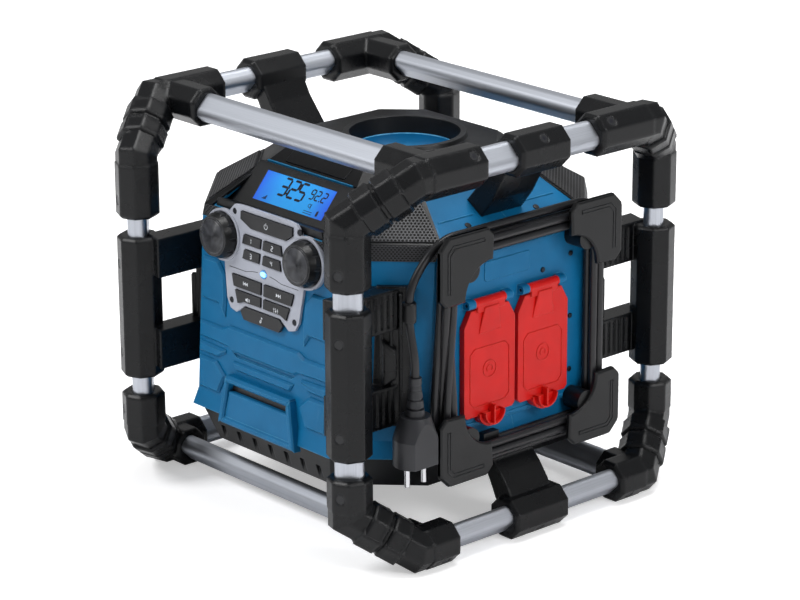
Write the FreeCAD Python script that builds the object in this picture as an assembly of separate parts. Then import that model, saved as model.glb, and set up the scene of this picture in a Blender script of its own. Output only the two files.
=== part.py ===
import FreeCAD, Part
import math
import os

# Jobsite radio in a tubular roll cage. Millimetres, X right, Y back, Z up.
# The display faces -Y and the mains outlets face +X. The origin is on the
# ground, under the middle of the cage.

V = FreeCAD.Vector
DOWN = V(0, 0, -1)
UP = V(0, 0, 1)

# Cage layout, on the tube axes
POST_X = 143.3
POST_Y = 182.5
RAIL_X = 174.7
RAIL_LOW_Z = 18.25
RAIL_HIGH_Z = 348.0
ELBOW_RISE = 36.0
ELBOW_Y = 136.0
CROSS_Y_TOP = 118.0
CROSS_Y_LOW = 126.0

# Extruded tubes
TUBE_WIDE = 25.5
TUBE_DEEP = 18.0
TUBE_CORNER = 7.0
TUBE_WALL = 2.0
TUBE_FIT = 0.05
TUBE_SEAT = 22.0

# Moulded corner connectors and sleeves, sizes across flats
SOCKET_AF = 36.5
ELBOW_AF = 35.0
SOCKET_BEVEL = 2.5
POST_SOCKET_TOP_END = 256.0
POST_SOCKET_LOW_END = 90.0
SIDE_SOCKET_TOP_END = 67.0
SIDE_SOCKET_LOW_END = 98.0
CROSS_SOCKET_TOP_END = 121.0
CROSS_SOCKET_LOW_END = 146.0
PAD_LENGTH = 19.0
PAD_GAP = 3.0
PAD_PROUD = 3.0

# Post sleeves with their arms to the housing
SLEEVE_LOW_Z = 106.5
SLEEVE_HIGH_Z = 238.5
ARM_OUT_X = 135.0
ARM_THICK = 22.0
ARM_HEIGHT = 36.0
ARM_LOW_Z = 118.0
ARM_HIGH_Z = 240.0
FOOT_THICK = 6.0
RIB_DEPTH = 1.6
RIB_WIDE = 2.4
RIB_PITCH = 7.0

# Rail mounts
TOP_MOUNT_HALF = 29.0
LOW_MOUNT_HALF = 32.0
MOUNT_ARM_HALF = 24.0

# Housing
HALF_X = 150.0
HALF_Y_LOW = 160.0
HALF_Y_HIGH = 150.0
CHAMFER = 60.0
WALL = 3.5
BASE_LOW_Z = 53.0
BASE_INSET = 11.0
HEM_LOW_Z = 86.0
HEM_HIGH_Z = 101.0
HEM_FLARE = 4.0
WALL_TOP_Z = 262.0
BROW_Z = 274.0
BROW_HALF = 152.0
BROW_CHAMFER = 68.0
DECK_Z = 302.0
DECK_HALF = 108.0
DECK_CHAMFER = 44.0
COVER_TOP_Z = 325.0
COVER_HALF = 78.0
COVER_CHAMFER = 30.0
SEAM_GAP = 0.3

# Recess in the top cover
BOWL_X = 4.0
BOWL_Y = 6.0
BOWL_R = 50.0
BOWL_FLOOR_R = 45.0
LINER_R = 53.7
LINER_TALL = 14.0
LINER_FLOOR = 3.0
LINER_FLOOR_R = 32.0
BOWL_DEPTH = 34.0
RIM_WIDE = 7.0
RIM_PROUD = 4.0

# Speaker grilles on the four corner slopes
GRILLE_THICK = 2.4
GRILLE_EDGE = 5.0
DRIVER_R = 33.0
DRIVER_DEPTH = 26.0

# Display and its hood
HOOD_SLOPE = 50.0
HOOD_MID_Y = -119.6
HOOD_MID_Z = 293.6
HOOD_HALF_LOW = 76.0
HOOD_HALF_HIGH = 60.0
HOOD_TOP_Z = 310.0
HOOD_FOOT_Z = 277.0
HOOD_SEAT_Z = 274.6
HOOD_BACK_Y = -99.0
HOOD_FIT = 0.3
HOOD_ROOM_Z = 345.0
LENS_WIDE = 93.0
LENS_TALL = 29.0
LENS_THICK = 2.0

# Control panel, in the plane of the front face
PANEL_Z = 232.0
PANEL_THICK = 3.0
KNOB_X = 57.0
KNOB_UP = 20.0
KNOB_R = 20.5
KNOB_TALL = 12.0
KNOB_FLUTES = 10
SHAFT_R = 3.0
SHAFT_FIT = 0.05
KEY_PROUD = 1.6
KEY_TRAVEL = 1.0
KEY_GAP = 0.35
KEY_STEM_R = 2.0

# Bass panel low on the front face
BASS_WIDE = 96.0
BASS_TALL = 34.0
BASS_Z = 103.0
CREASE_Z = 146.0
CREASE_HALF = 43.0
CREASE_DEEP = 2.0

# Mains outlets
PLATE_LOW_Z = 102.5
PLATE_HIGH_Z = 258.0
PLATE_HALF = 84.0
PLATE_THICK = 2.5
LID_MID_Y = -3.0
LID_WIDE = 60.0
LID_GAP = 4.0
LID_LOW_Z = 114.0
LID_HINGE_Z = 217.0
LID_THICK = 6.0
PIN_R = 1.6
PIN_FIT = 0.05
KNUCKLE_R = 4.2
SOCKET_R = 21.0
SOCKET_BORE_R = 19.5
SOCKET_DEEP = 14.0
WINDOW_ROOM = 3.0
SOCKET_FLOOR = 3.0
SOCKET_PIN_R = 2.6
SOCKET_PIN_GAP = 19.0

# Cord and its hooks
CORD_R = 3.6
CORD_PITCH = 7.7
HOOK_OUT_X = 177.0
HOOK_PLATE = 5.0
HOOK_HALF_Y = 108.0
HOOK_LOW_Z = 66.0
HOOK_HIGH_Z = 290.0
HOOK_ARM = 54.0
HOOK_POST_FIT = 0.3
WIND_HALF_Y = 84.0
WIND_LOW_Z = 88.0
WIND_HIGH_Z = 268.0
WIND_R = 14.0
WIND_X = 158.2
WIND_COLUMNS = 2
WIND_TURNS = 5
GLAND_LONG = 18.0
GLAND_Y = -26.0
RELIEF_LENGTH = 34.0
PLUG_Y = -128.0
PLUG_X = 166.0
PLUG_HALF_WIDE = 19.5
PLUG_HALF_THICK = 14.5
PLUG_TOP_Z = 137.0

# Battery door at the back
DOOR_WIDE = 120.0
DOOR_TALL = 96.0
DOOR_Z = 180.0
DOOR_THICK = 4.0
BAY_WIDE = 96.0
BAY_TALL = 72.0
BAY_DEEP = 46.0
BAY_WALL = 3.0


def face_of(points):
    """Flat face through the points, in order."""
    return Part.Face(Part.makePolygon(points + [points[0]]))


def prism(points, along):
    return face_of(points).extrude(along)


def loft(sections):
    wires = [Part.makePolygon(s + [s[0]]) for s in sections]
    return Part.makeLoft(wires, True, True)


def fuse(pieces):
    whole = pieces[0]
    for piece in pieces[1:]:
        whole = whole.fuse(piece)
    return whole.removeSplitter()


def block(x0, x1, y0, y1, z0, z1):
    return Part.makeBox(x1 - x0, y1 - y0, z1 - z0, V(x0, y0, z0))


def octagon(half_x, half_y, leg, z):
    """Plan outline of a box with cut corners, anticlockwise seen from above."""
    ax = half_x - leg
    ay = half_y - leg
    plan = [(ax, -half_y), (half_x, -ay), (half_x, ay), (ax, half_y)]
    plan += [(-ax, half_y), (-half_x, ay), (-half_x, -ay), (-ax, -half_y)]
    return [V(x, y, z) for x, y in plan]


def ring_section(centre, axis, across, turn_deg, sides=8, lead=None):
    """Points of a regular polygon about an axis; lead is the zero direction."""
    axis = V(axis).normalize()
    if lead is None:
        lead = UP if abs(axis.z) < 0.9 else V(1, 0, 0)
    side_u = V(lead) - axis * axis.dot(V(lead))
    side_u.normalize()
    side_v = axis.cross(side_u)
    radius = across / 2.0 / math.cos(math.pi / sides)
    points = []
    for i in range(sides):
        angle = math.radians(turn_deg) + (i + 0.5) * 2 * math.pi / sides
        points.append(centre + side_u * (radius * math.cos(angle))
                      + side_v * (radius * math.sin(angle)))
    return points


def octagon_bar(start, end, across, turn_deg, bevel_start=0.0, bevel_end=0.0):
    """Octagonal bar between two points, with bevelled ends where asked."""
    axis = end - start
    length = axis.Length
    axis.normalize()
    stations = [(0.0, across - 2 * bevel_start)]
    if bevel_start:
        stations.append((bevel_start, across))
    if bevel_end:
        stations.append((length - bevel_end, across))
    stations.append((length, across - 2 * bevel_end))
    bars = []
    for (s0, a0), (s1, a1) in zip(stations, stations[1:]):
        bars.append(loft([ring_section(start + axis * s0, axis, a0, turn_deg),
                          ring_section(start + axis * s1, axis, a1, turn_deg)]))
    return fuse(bars)


def mitred_bar(path, across, turn_deg):
    """Octagonal bar along a bent path, each bend cut on its half-angle plane."""
    first = V(path[1] - path[0]).normalize()
    outlines = [ring_section(path[0], first, across, turn_deg)]
    for i in range(1, len(path)):
        along = V(path[i] - path[i - 1]).normalize()
        if i + 1 < len(path):
            onward = V(path[i + 1] - path[i]).normalize()
            normal = (along + onward).normalize()
        else:
            normal = along
        moved = []
        for point in outlines[-1]:
            travel = (path[i] - point).dot(normal) / along.dot(normal)
            moved.append(point + along * travel)
        outlines.append(moved)
    return fuse([loft(list(pair)) for pair in zip(outlines, outlines[1:])])


def tube_outline(centre, axis, outward, grow):
    """Rounded flat tube section; its wide side is square to outward."""
    axis = V(axis).normalize()
    out = V(outward) - axis * axis.dot(V(outward))
    out.normalize()
    side = axis.cross(out)
    half_u = TUBE_WIDE / 2.0 + grow
    half_v = TUBE_DEEP / 2.0 + grow
    r = TUBE_CORNER + grow
    edges = []
    corners = [(1, 1), (-1, 1), (-1, -1), (1, -1)]
    start_angles = [0, 90, 180, 270]

    def at(u, v):
        return centre + side * u + out * v

    previous = None
    first = None
    for (su, sv), begin in zip(corners, start_angles):
        cu = su * (half_u - r)
        cv = sv * (half_v - r)
        spots = []
        for step in (0, 45, 90):
            angle = math.radians(begin + step)
            spots.append(at(cu + r * math.cos(angle), cv + r * math.sin(angle)))
        if previous is not None:
            edges.append(Part.LineSegment(previous, spots[0]).toShape())
        else:
            first = spots[0]
        edges.append(Part.Arc(spots[0], spots[1], spots[2]).toShape())
        previous = spots[2]
    edges.append(Part.LineSegment(previous, first).toShape())
    return Part.Wire(edges)


def tube(start, end, outward):
    """Hollow flat tube from start to end."""
    along = end - start
    outer = Part.Face(tube_outline(start, along, outward, 0.0)).extrude(along)
    inner = Part.Face(tube_outline(start, along, outward, -TUBE_WALL)).extrude(along)
    return outer.cut(inner)


def tube_bore(start, end, outward):
    along = end - start
    return Part.Face(tube_outline(start, along, outward, TUBE_FIT)).extrude(along)


def mirrored(shape, flip_x, flip_y):
    if flip_x:
        shape = shape.mirror(V(0, 0, 0), V(1, 0, 0))
    if flip_y:
        shape = shape.mirror(V(0, 0, 0), V(0, 1, 0))
    return shape


def save(shapes, name):
    """Write one node: a solid, or several loose solids as one group."""
    if not isinstance(shapes, list):
        shapes = [shapes]
    solids = []
    for shape in shapes:
        solids += shape.Solids
    for solid in solids:
        if not solid.isValid() or solid.Volume <= 0:
            print("check", name, solid.isValid(), round(solid.Volume, 1))
    Part.makeCompound(solids).exportStep("parts/" + name + ".step")


SIDES = [("front_left", True, False), ("front_right", False, False),
         ("back_left", True, True), ("back_right", False, True)]


def rail_level(top):
    return RAIL_HIGH_Z if top else RAIL_LOW_Z


def screw(at, outward, head_r=4.0, head_tall=2.2):
    """Pan head screw, its head resting at the point."""
    out = V(outward).normalize()
    head = Part.makeCylinder(head_r, head_tall, at, out)
    shank = Part.makeCylinder(head_r * 0.45, 4.0, at - out * 3.99, out)
    return head.fuse(shank).removeSplitter()


def screw_seat(at, outward, head_r=4.0, deep=2.4):
    """Recess for a screw whose head top is level with the surface at the point."""
    out = V(outward).normalize()
    well = Part.makeCylinder(head_r + 0.15, deep + 5, at - out * deep, out)
    shank = Part.makeCylinder(head_r * 0.45 + 0.05, 4.5, at - out * (deep + 4.4), out)
    return well.fuse(shank)


SEAT_DEEP = 2.4


def cage_screw_places(top):
    """Surface point and outward direction of each corner screw, front right."""
    z = rail_level(top)
    fold = 1 if top else -1
    turn = math.radians(22.5)
    post_out = V(math.sin(turn), -math.cos(turn), 0)
    end = POST_SOCKET_TOP_END if top else POST_SOCKET_LOW_END
    post_at = V(POST_X, -POST_Y, end + fold * 16) + post_out * (SOCKET_AF / 2)
    side_out = V(1, 0, fold).normalize()
    side_end = SIDE_SOCKET_TOP_END if top else SIDE_SOCKET_LOW_END
    side_at = V(RAIL_X, -(side_end + 14), z) + side_out * (SOCKET_AF / 2)
    return [(post_at, post_out), (side_at, side_out)]


def corner(top):
    """Corner connector of the front right, with its three tube sockets."""
    fold = 1 if top else -1
    z = rail_level(top)
    cross_y = CROSS_Y_TOP if top else CROSS_Y_LOW
    post_end = POST_SOCKET_TOP_END if top else POST_SOCKET_LOW_END
    side_end = SIDE_SOCKET_TOP_END if top else SIDE_SOCKET_LOW_END
    cross_end = CROSS_SOCKET_TOP_END if top else CROSS_SOCKET_LOW_END
    bend_low = V(POST_X, -POST_Y, z - fold * ELBOW_RISE)
    bend_high = V(RAIL_X, -ELBOW_Y, z)
    post_start = V(POST_X, -POST_Y, post_end)
    side_start = V(RAIL_X, -side_end, z)
    pieces = [mitred_bar([post_start + V(0, 0, fold * 4), bend_low, bend_high,
                          side_start - V(0, 4, 0)], ELBOW_AF, 22.5)]
    pieces.append(octagon_bar(post_start, bend_low - V(0, 0, fold * 6), SOCKET_AF, 22.5,
                              SOCKET_BEVEL, 0.6))
    pieces.append(octagon_bar(side_start, bend_high + V(0, 6, 0), SOCKET_AF, 0,
                              SOCKET_BEVEL, 0.6))
    pieces.append(octagon_bar(V(cross_end, -cross_y, z), V(RAIL_X, -cross_y, z),
                              ELBOW_AF - 1.0, 0, SOCKET_BEVEL, 0))
    # Two raised bump pads on the outside of the slanted length
    slant = V(bend_high - bend_low)
    reach = slant.Length
    slant.normalize()
    out = V(1, -1, fold)
    out = (out - slant * out.dot(slant)).normalize()
    side = slant.cross(out)
    middle = (bend_low + bend_high) * 0.5
    for shift in (-(PAD_LENGTH + PAD_GAP) / 2, (PAD_LENGTH + PAD_GAP) / 2):
        centre = middle + slant * shift
        sections = []
        for lift, half_a, half_b in ((ELBOW_AF / 2 - 4, PAD_LENGTH / 2, 11.0),
                                     (ELBOW_AF / 2 + PAD_PROUD - 1.2, PAD_LENGTH / 2, 9.0),
                                     (ELBOW_AF / 2 + PAD_PROUD, PAD_LENGTH / 2 - 1.5, 7.5)):
            base = centre + out * lift
            sections.append([base + slant * (a * half_a) + side * (b * half_b)
                             for a, b in ((1, 1), (-1, 1), (-1, -1), (1, -1))])
        pieces.append(loft(sections[:2]))
        pieces.append(loft(sections[1:]))
    whole = fuse(pieces)
    post_out = V(1, -1, 0)
    whole = whole.cut(tube_bore(post_start - V(0, 0, fold * 5),
                                bend_low - V(0, 0, fold * 4), post_out))
    side_out = V(1, 0, fold)
    whole = whole.cut(tube_bore(side_start + V(0, 5, 0), V(RAIL_X, -ELBOW_Y, z), side_out))
    cross_out = V(0, -1, fold)
    whole = whole.cut(tube_bore(V(cross_end - 5, -cross_y, z),
                                V(cross_stop(top), -cross_y, z), cross_out))
    for at, outward in cage_screw_places(top):
        whole = whole.cut(screw_seat(at, outward, deep=SEAT_DEEP))
    return whole


def cross_stop(top):
    """Where a cross tube ends inside its socket."""
    return RAIL_X - TUBE_WIDE / 2 - 8.0 if top else RAIL_X - TUBE_WIDE / 2 - 2.0


def build_cage():
    for top in (True, False):
        level = "top" if top else "bottom"
        for name, flip_x, flip_y in SIDES:
            save(mirrored(corner(top), flip_x, flip_y), "corner_" + level + "_" + name)
    sides = []
    crosses = []
    for top in (True, False):
        fold = 1 if top else -1
        z = rail_level(top)
        side_out = V(1, 0, fold)
        side = tube(V(RAIL_X, -ELBOW_Y, z), V(RAIL_X, ELBOW_Y, z), side_out)
        sides += [side, mirrored(side, True, False)]
        cross_y = CROSS_Y_TOP if top else CROSS_Y_LOW
        stop = cross_stop(top)
        cross = tube(V(-stop, -cross_y, z), V(stop, -cross_y, z), V(0, -1, fold))
        crosses += [cross, mirrored(cross, False, True)]
    save(sides, "side_rails")
    save(crosses, "cross_rails")
    low = RAIL_LOW_Z + ELBOW_RISE + 4
    high = RAIL_HIGH_Z - ELBOW_RISE - 4
    post = tube(V(POST_X, -POST_Y, low), V(POST_X, -POST_Y, high), V(1, -1, 0))
    save([mirrored(post, fx, fy) for _, fx, fy in SIDES], "posts")


def chamfer_point(along, lift, z, stand_off=0.0):
    """Point on the front right chamfer: along it from its middle, and off it."""
    mid_x = HALF_X - CHAMFER / 2
    mid_y = -(half_y_at(z) - CHAMFER / 2)
    t = 1 / math.sqrt(2)
    return V(mid_x + along * t + (lift + stand_off) * t,
             mid_y + along * t - (lift + stand_off) * t, z)


def half_y_at(z):
    """Half depth of the housing, which leans in towards the top."""
    share = (z - HEM_HIGH_Z) / (BROW_Z - HEM_HIGH_Z)
    return HALF_Y_LOW + (HALF_Y_HIGH - HALF_Y_LOW) * share


def sleeve_screw_places():
    turn = math.radians(22.5)
    out = V(math.sin(turn), -math.cos(turn), 0)
    base = V(POST_X, -POST_Y, 0) + out * (SOCKET_AF / 2)
    return [(base + V(0, 0, SLEEVE_LOW_Z + 22), out),
            (base + V(0, 0, SLEEVE_HIGH_Z - 26), out)]


def post_mount():
    """Front right post sleeve with two ribbed arms and a foot on the chamfer."""
    start = V(POST_X, -POST_Y, SLEEVE_LOW_Z)
    end = V(POST_X, -POST_Y, SLEEVE_HIGH_Z)
    pieces = [octagon_bar(start, end, SOCKET_AF, 22.5, SOCKET_BEVEL, SOCKET_BEVEL)]
    foot_z = (ARM_LOW_Z - 1, ARM_HIGH_Z + 1)
    foot = []
    for z in foot_z:
        foot.append([chamfer_point(-6, 0, z, SEAM_GAP), chamfer_point(26, 0, z, SEAM_GAP),
                     chamfer_point(26, FOOT_THICK, z, SEAM_GAP),
                     chamfer_point(-6, FOOT_THICK, z, SEAM_GAP)])
    pieces.append(loft(foot))
    x0 = ARM_OUT_X - ARM_THICK
    for z0 in (ARM_LOW_Z, ARM_HIGH_Z - ARM_HEIGHT):
        z1 = z0 + ARM_HEIGHT
        arm = []
        for z in (z0, z1):
            reach = half_y_at(z)
            y_out = -(reach - CHAMFER + (HALF_X - ARM_OUT_X)) - 2.0
            y_in = -(reach - CHAMFER + (HALF_X - x0)) - 2.0
            arm.append([V(x0, -POST_Y - 2, z), V(ARM_OUT_X, -POST_Y + 4, z),
                        V(ARM_OUT_X, y_out, z), V(x0, y_in, z)])
        bar = loft(arm)
        # Ribs: upright grooves in the outer and inner walls
        ribs = []
        y = -POST_Y + SOCKET_AF / 2 + 5.0
        while y < -(half_y_at(z0) - CHAMFER + HALF_X - ARM_OUT_X) - 8:
            ribs.append(block(ARM_OUT_X - RIB_DEPTH, ARM_OUT_X + 1, y, y + RIB_WIDE,
                              z0 + 3, z1 - 3))
            y += RIB_PITCH
        for rib in ribs:
            bar = bar.cut(rib)
        pieces.append(bar)
    whole = fuse(pieces)
    whole = whole.cut(tube_bore(start - V(0, 0, 5), end + V(0, 0, 5), V(1, -1, 0)))
    for at, outward in sleeve_screw_places():
        whole = whole.cut(screw_seat(at, outward, deep=SEAT_DEEP))
    return whole


def slope_z(half, base_half, base_z, top_half, top_z):
    return base_z + (base_half - half) / (base_half - top_half) * (top_z - base_z)


def deck_slope_z(x):
    """Height of the right slope of the upper housing at x."""
    return slope_z(x, BROW_HALF, BROW_Z, DECK_HALF, DECK_Z)


def rail_mount(top):
    """Right hand rail clamp with a ribbed arm to the housing."""
    z = rail_level(top)
    fold = 1 if top else -1
    half = TOP_MOUNT_HALF if top else LOW_MOUNT_HALF
    start = V(RAIL_X, -half, z)
    end = V(RAIL_X, half, z)
    pieces = [octagon_bar(start, end, SOCKET_AF, 0, SOCKET_BEVEL, SOCKET_BEVEL)]
    w = MOUNT_ARM_HALF
    if top:
        x_foot = 118.0
        foot_z = deck_slope_z(x_foot)
        x_toe = 136.0
        toe_z = deck_slope_z(x_toe)
        rise = SEAM_GAP / math.cos(math.atan2(DECK_Z - BROW_Z, BROW_HALF - DECK_HALF))
        outline = [V(x_foot, -w, foot_z + rise), V(x_toe, -w, toe_z + rise),
                   V(150, -w, 302), V(164, -w, 326), V(170, -w, z - 12),
                   V(160, -w, z + 2), V(148, -w, 330), V(134, -w, 314)]
    else:
        outline = [V(base_x(84) + SEAM_GAP, -w, 84), V(base_x(60) + SEAM_GAP, -w, 60),
                   V(148, -w, 46), V(156, -w, 30), V(166, -w, z + 2), V(180, -w, z + 8),
                   V(172, -w, 42), V(162, -w, 55), V(153, -w, 64), V(152, -w, 82)]
    arm = prism(outline, V(0, 2 * w, 0))
    pieces.append(arm)
    whole = fuse(pieces)
    side_out = V(1, 0, fold)
    whole = whole.cut(tube_bore(start - V(0, 5, 0), end + V(0, 5, 0), side_out))
    out = V(side_out).normalize()
    at = V(RAIL_X, 0, z) + out * (SOCKET_AF / 2)
    whole = whole.cut(screw_seat(at, out, deep=SEAT_DEEP))
    return whole


def rail_screw_places():
    places = []
    for top in (True, False):
        out = V(1, 0, 1 if top else -1).normalize()
        places.append((V(RAIL_X, 0, rail_level(top)) + out * (SOCKET_AF / 2), out))
    return places


def base_x(z):
    """Half width of the base skid, which draws in towards the ground."""
    share = (HEM_LOW_Z - z) / (HEM_LOW_Z - BASE_LOW_Z)
    return HALF_X - 2.0 - BASE_INSET * share


def build_mounts():
    for name, flip_x, flip_y in SIDES:
        save(mirrored(post_mount(), flip_x, flip_y), "post_mount_" + name)
    for top in (True, False):
        level = "top" if top else "bottom"
        for name, flip_x in (("right", False), ("left", True)):
            save(mirrored(rail_mount(top), flip_x, False), level + "_rail_mount_" + name)
    screws = []
    places = cage_screw_places(True) + cage_screw_places(False) + sleeve_screw_places()
    for at, outward in places:
        out = V(outward).normalize()
        one = screw(at - out * (SEAT_DEEP - 0.02), out)
        screws += [mirrored(one, fx, fy) for _, fx, fy in SIDES]
    for at, outward in rail_screw_places():
        out = V(outward).normalize()
        one = screw(at - out * (SEAT_DEEP - 0.02), out)
        screws += [mirrored(one, fx, False) for fx in (False, True)]
    save(screws, "cage_screws")


def lower_solid(inset):
    """Housing below the brow, drawn in all round by inset."""
    k = inset * (2 - math.sqrt(2))
    hem = [octagon(HALF_X + HEM_FLARE - inset, HALF_Y_LOW + HEM_FLARE - inset,
                   CHAMFER - k, HEM_LOW_Z),
           octagon(HALF_X - inset, HALF_Y_LOW - inset, CHAMFER - k, HEM_HIGH_Z)]
    walls = [hem[1], octagon(HALF_X - inset, half_y_at(WALL_TOP_Z) - inset,
                             CHAMFER - k, WALL_TOP_Z)]
    return hem, walls


def upper_sections(inset):
    k = inset * (2 - math.sqrt(2))
    step_y = half_y_at(WALL_TOP_Z)
    step = octagon(BROW_HALF - inset, step_y - inset, BROW_CHAMFER - k, WALL_TOP_Z)
    brow = octagon(BROW_HALF - inset, HALF_Y_HIGH - inset, BROW_CHAMFER - k, BROW_Z)
    deck = octagon(DECK_HALF - inset, DECK_HALF - inset, DECK_CHAMFER - k, DECK_Z)
    return step, brow, deck


def housing():
    hem, walls = lower_solid(0)
    step, brow, deck = upper_sections(0)
    outer = fuse([loft(hem), loft(walls), loft([step, brow]), loft([brow, deck])])
    hem_i, walls_i = lower_solid(WALL)
    step_i, brow_i, deck_i = upper_sections(WALL)
    brow_i = [p - V(0, 0, WALL * 0.3) for p in brow_i]
    deck_i = [p - V(0, 0, WALL) for p in deck_i]
    hem_floor = [V(p.x, p.y, HEM_LOW_Z + WALL) for p in hem_i[1]]
    inner = fuse([loft([hem_floor, walls_i[0]]), loft(walls_i),
                  loft([[V(p.x, p.y, WALL_TOP_Z - 0.01) for p in walls_i[1]], 
                        [V(p.x, p.y, WALL_TOP_Z + WALL) for p in walls_i[1]]]),
                  loft([[V(p.x, p.y, WALL_TOP_Z + WALL) for p in step_i], brow_i]),
                  loft([brow_i, deck_i])])
    return outer.cut(inner)


def grille(name_index):
    """Perforated corner panel with a raised edge, front right."""
    step, brow, deck = upper_sections(0)
    a, b = brow[0], brow[1]
    c, d = deck[1], deck[0]
    normal = (b - a).cross(d - a).normalize()
    if normal.z < 0:
        normal = normal * -1
    centre = (a + b + c + d) * 0.25
    corners = []
    for p in (a, b, c, d):
        inward = V(centre - p).normalize()
        corners.append(p + inward * GRILLE_EDGE + normal * 0.02)
    return prism(corners, normal * GRILLE_THICK)


def front_tilt():
    return math.degrees(math.atan2(HALF_Y_LOW - HALF_Y_HIGH, BROW_Z - HEM_HIGH_Z))


def on_front(shape, lift=0.0):
    """Place a shape drawn at y=0 in the plane of the front face; -y is outward."""
    shape = shape.copy()
    shape.translate(V(0, -lift, -HEM_HIGH_Z))
    shape.rotate(V(0, 0, 0), V(1, 0, 0), -front_tilt())
    shape.translate(V(0, -HALF_Y_LOW, HEM_HIGH_Z))
    return shape


def front_plate(points, low, high):
    """Plate from outline points (x, z), between two heights off the front face."""
    base = [V(x, -low, z) for x, z in points]
    return prism(base, V(0, -(high - low), 0))


PANEL_OUTLINE = [(-33, 52), (-42, 51), (-48, 45), (-50, 38), (-62, 42), (-76, 34), (-80, 20),
                 (-76, 6), (-64, -2), (-54, -4), (-49, -36), (-44, -44), (-36, -46), (-28, -41),
                 (28, -41), (36, -46), (44, -44), (49, -36), (54, -4), (64, -2), (76, 6),
                 (80, 20), (76, 34), (62, 42), (50, 38), (48, 45), (42, 51), (33, 52)]

KEYS = {
    "key_power": [(-32, 47), (38, 47), (38, 40), (29, 34), (-18, 34), (-32, 40)],
    "key_1": [(-27, 27), (-4, 27), (-5, 18.5), (-29, 18.5)],
    "key_2": [(0, 27), (23, 27), (25, 18.5), (-1, 18.5)],
    "key_3": [(-26, 13.5), (-5, 13.5), (-6, 5), (-28, 5)],
    "key_4": [(0, 13.5), (22, 13.5), (24, 5), (-1, 5)],
    "key_previous": [(-42, -12), (-2, -12), (-2, -22.5), (-39, -22.5)],
    "key_next": [(2, -12), (42, -12), (39, -22.5), (2, -22.5)],
    "key_mute": [(-37, -25.5), (-2, -25.5), (-2, -34), (-25, -34), (-33, -37)],
    "key_tone": [(2, -25.5), (37, -25.5), (33, -37), (25, -34), (2, -34)],
    "key_mode": [(-24, -38.5), (24, -38.5), (29, -43), (24, -50), (-24, -50), (-29, -43)],
}


def grow_outline(points, gap):
    """Move each outline point outward from the middle by about gap."""
    cx = sum(p[0] for p in points) / len(points)
    cz = sum(p[1] for p in points) / len(points)
    moved = []
    for x, z in points:
        dx = gap if x > cx else -gap
        dz = gap if z > cz else -gap
        moved.append((x + dx, z + dz))
    return moved


def raised(points, z):
    return [(x, y + z) for x, y in points]


def panel_seats():
    """Where the panel screws sit, on the panel's face."""
    return [V(x, -PANEL_THICK, PANEL_Z + z)
            for x, z in ((-42, 44.5), (46, 44.5), (-43, -36.5), (43, -36.5))]


def build_front():
    base = front_plate(raised(PANEL_OUTLINE, PANEL_Z), SEAM_GAP, PANEL_THICK)
    for outline in KEYS.values():
        hole = front_plate(raised(grow_outline(outline, KEY_GAP), PANEL_Z), -2, PANEL_THICK + 2)
        base = base.cut(hole)
    for sign in (-1, 1):
        axis = V(sign * KNOB_X, 0, PANEL_Z + KNOB_UP)
        ring = Part.makeCylinder(KNOB_R + 3, PANEL_THICK + 1.5 - SEAM_GAP,
                                 axis - V(0, SEAM_GAP, 0), V(0, -1, 0))
        base = base.fuse(ring)
        base = base.cut(Part.makeCylinder(KNOB_R + 0.8, 10, axis - V(0, PANEL_THICK, 0),
                                          V(0, -1, 0)))
        base = base.cut(Part.makeCylinder(SHAFT_R + SHAFT_FIT, 30, axis + V(0, 10, 0),
                                          V(0, -1, 0)))
    led = V(0, 0, PANEL_Z - 3.5)
    base = base.cut(Part.makeCylinder(4.05, 12, led + V(0, 5, 0), V(0, -1, 0)))
    for at in panel_seats():
        base = base.cut(screw_seat(at, V(0, -1, 0), 2.8, 2.0))
    save(on_front(base), "control_panel")
    lens = Part.makeCylinder(4.0, PANEL_THICK + 0.6 - SEAM_GAP, led - V(0, SEAM_GAP, 0),
                             V(0, -1, 0))
    save(on_front(lens), "status_lens")
    for name, outline in KEYS.items():
        cap = front_plate(raised(outline, PANEL_Z), KEY_TRAVEL + SEAM_GAP + 0.2,
                          PANEL_THICK + KEY_PROUD)
        save(on_front(cap), name)
    for side, sign in (("left", -1), ("right", 1)):
        axis = V(sign * KNOB_X, 0, PANEL_Z + KNOB_UP)
        face = PANEL_THICK + 0.4
        skirt = Part.makeCylinder(KNOB_R, KNOB_TALL * 0.5, axis - V(0, face, 0), V(0, -1, 0))
        crown = Part.makeCone(KNOB_R, KNOB_R - 2.5, KNOB_TALL * 0.5,
                              axis - V(0, face + KNOB_TALL * 0.5, 0), V(0, -1, 0))
        stem = Part.makeCylinder(SHAFT_R, face + 8, axis + V(0, 8, 0), V(0, -1, 0))
        knob = fuse([skirt, crown, stem])
        for i in range(KNOB_FLUTES):
            angle = i * 2 * math.pi / KNOB_FLUTES
            spot = axis + V(math.cos(angle) * (KNOB_R + 0.9), -face - 1,
                            math.sin(angle) * (KNOB_R + 0.9))
            knob = knob.cut(Part.makeCylinder(1.8, KNOB_TALL * 0.75, spot, V(0, -1, 0)))
        save(on_front(knob), side + "_knob")
    # Bass panel: a slanted frame round a duct
    half = BASS_WIDE / 2
    tall = BASS_TALL
    frame = front_plate([(-half, BASS_Z), (-half + 4, BASS_Z + tall), (half - 4, BASS_Z + tall),
                         (half, BASS_Z)], SEAM_GAP, 7)
    hollow = front_plate([(-half + 8, BASS_Z + 4), (-half + 11, BASS_Z + tall - 5),
                          (half - 11, BASS_Z + tall - 5), (half - 8, BASS_Z + 4)], 2.5, 9)
    save(on_front(frame.cut(hollow)), "bass_panel")


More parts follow.
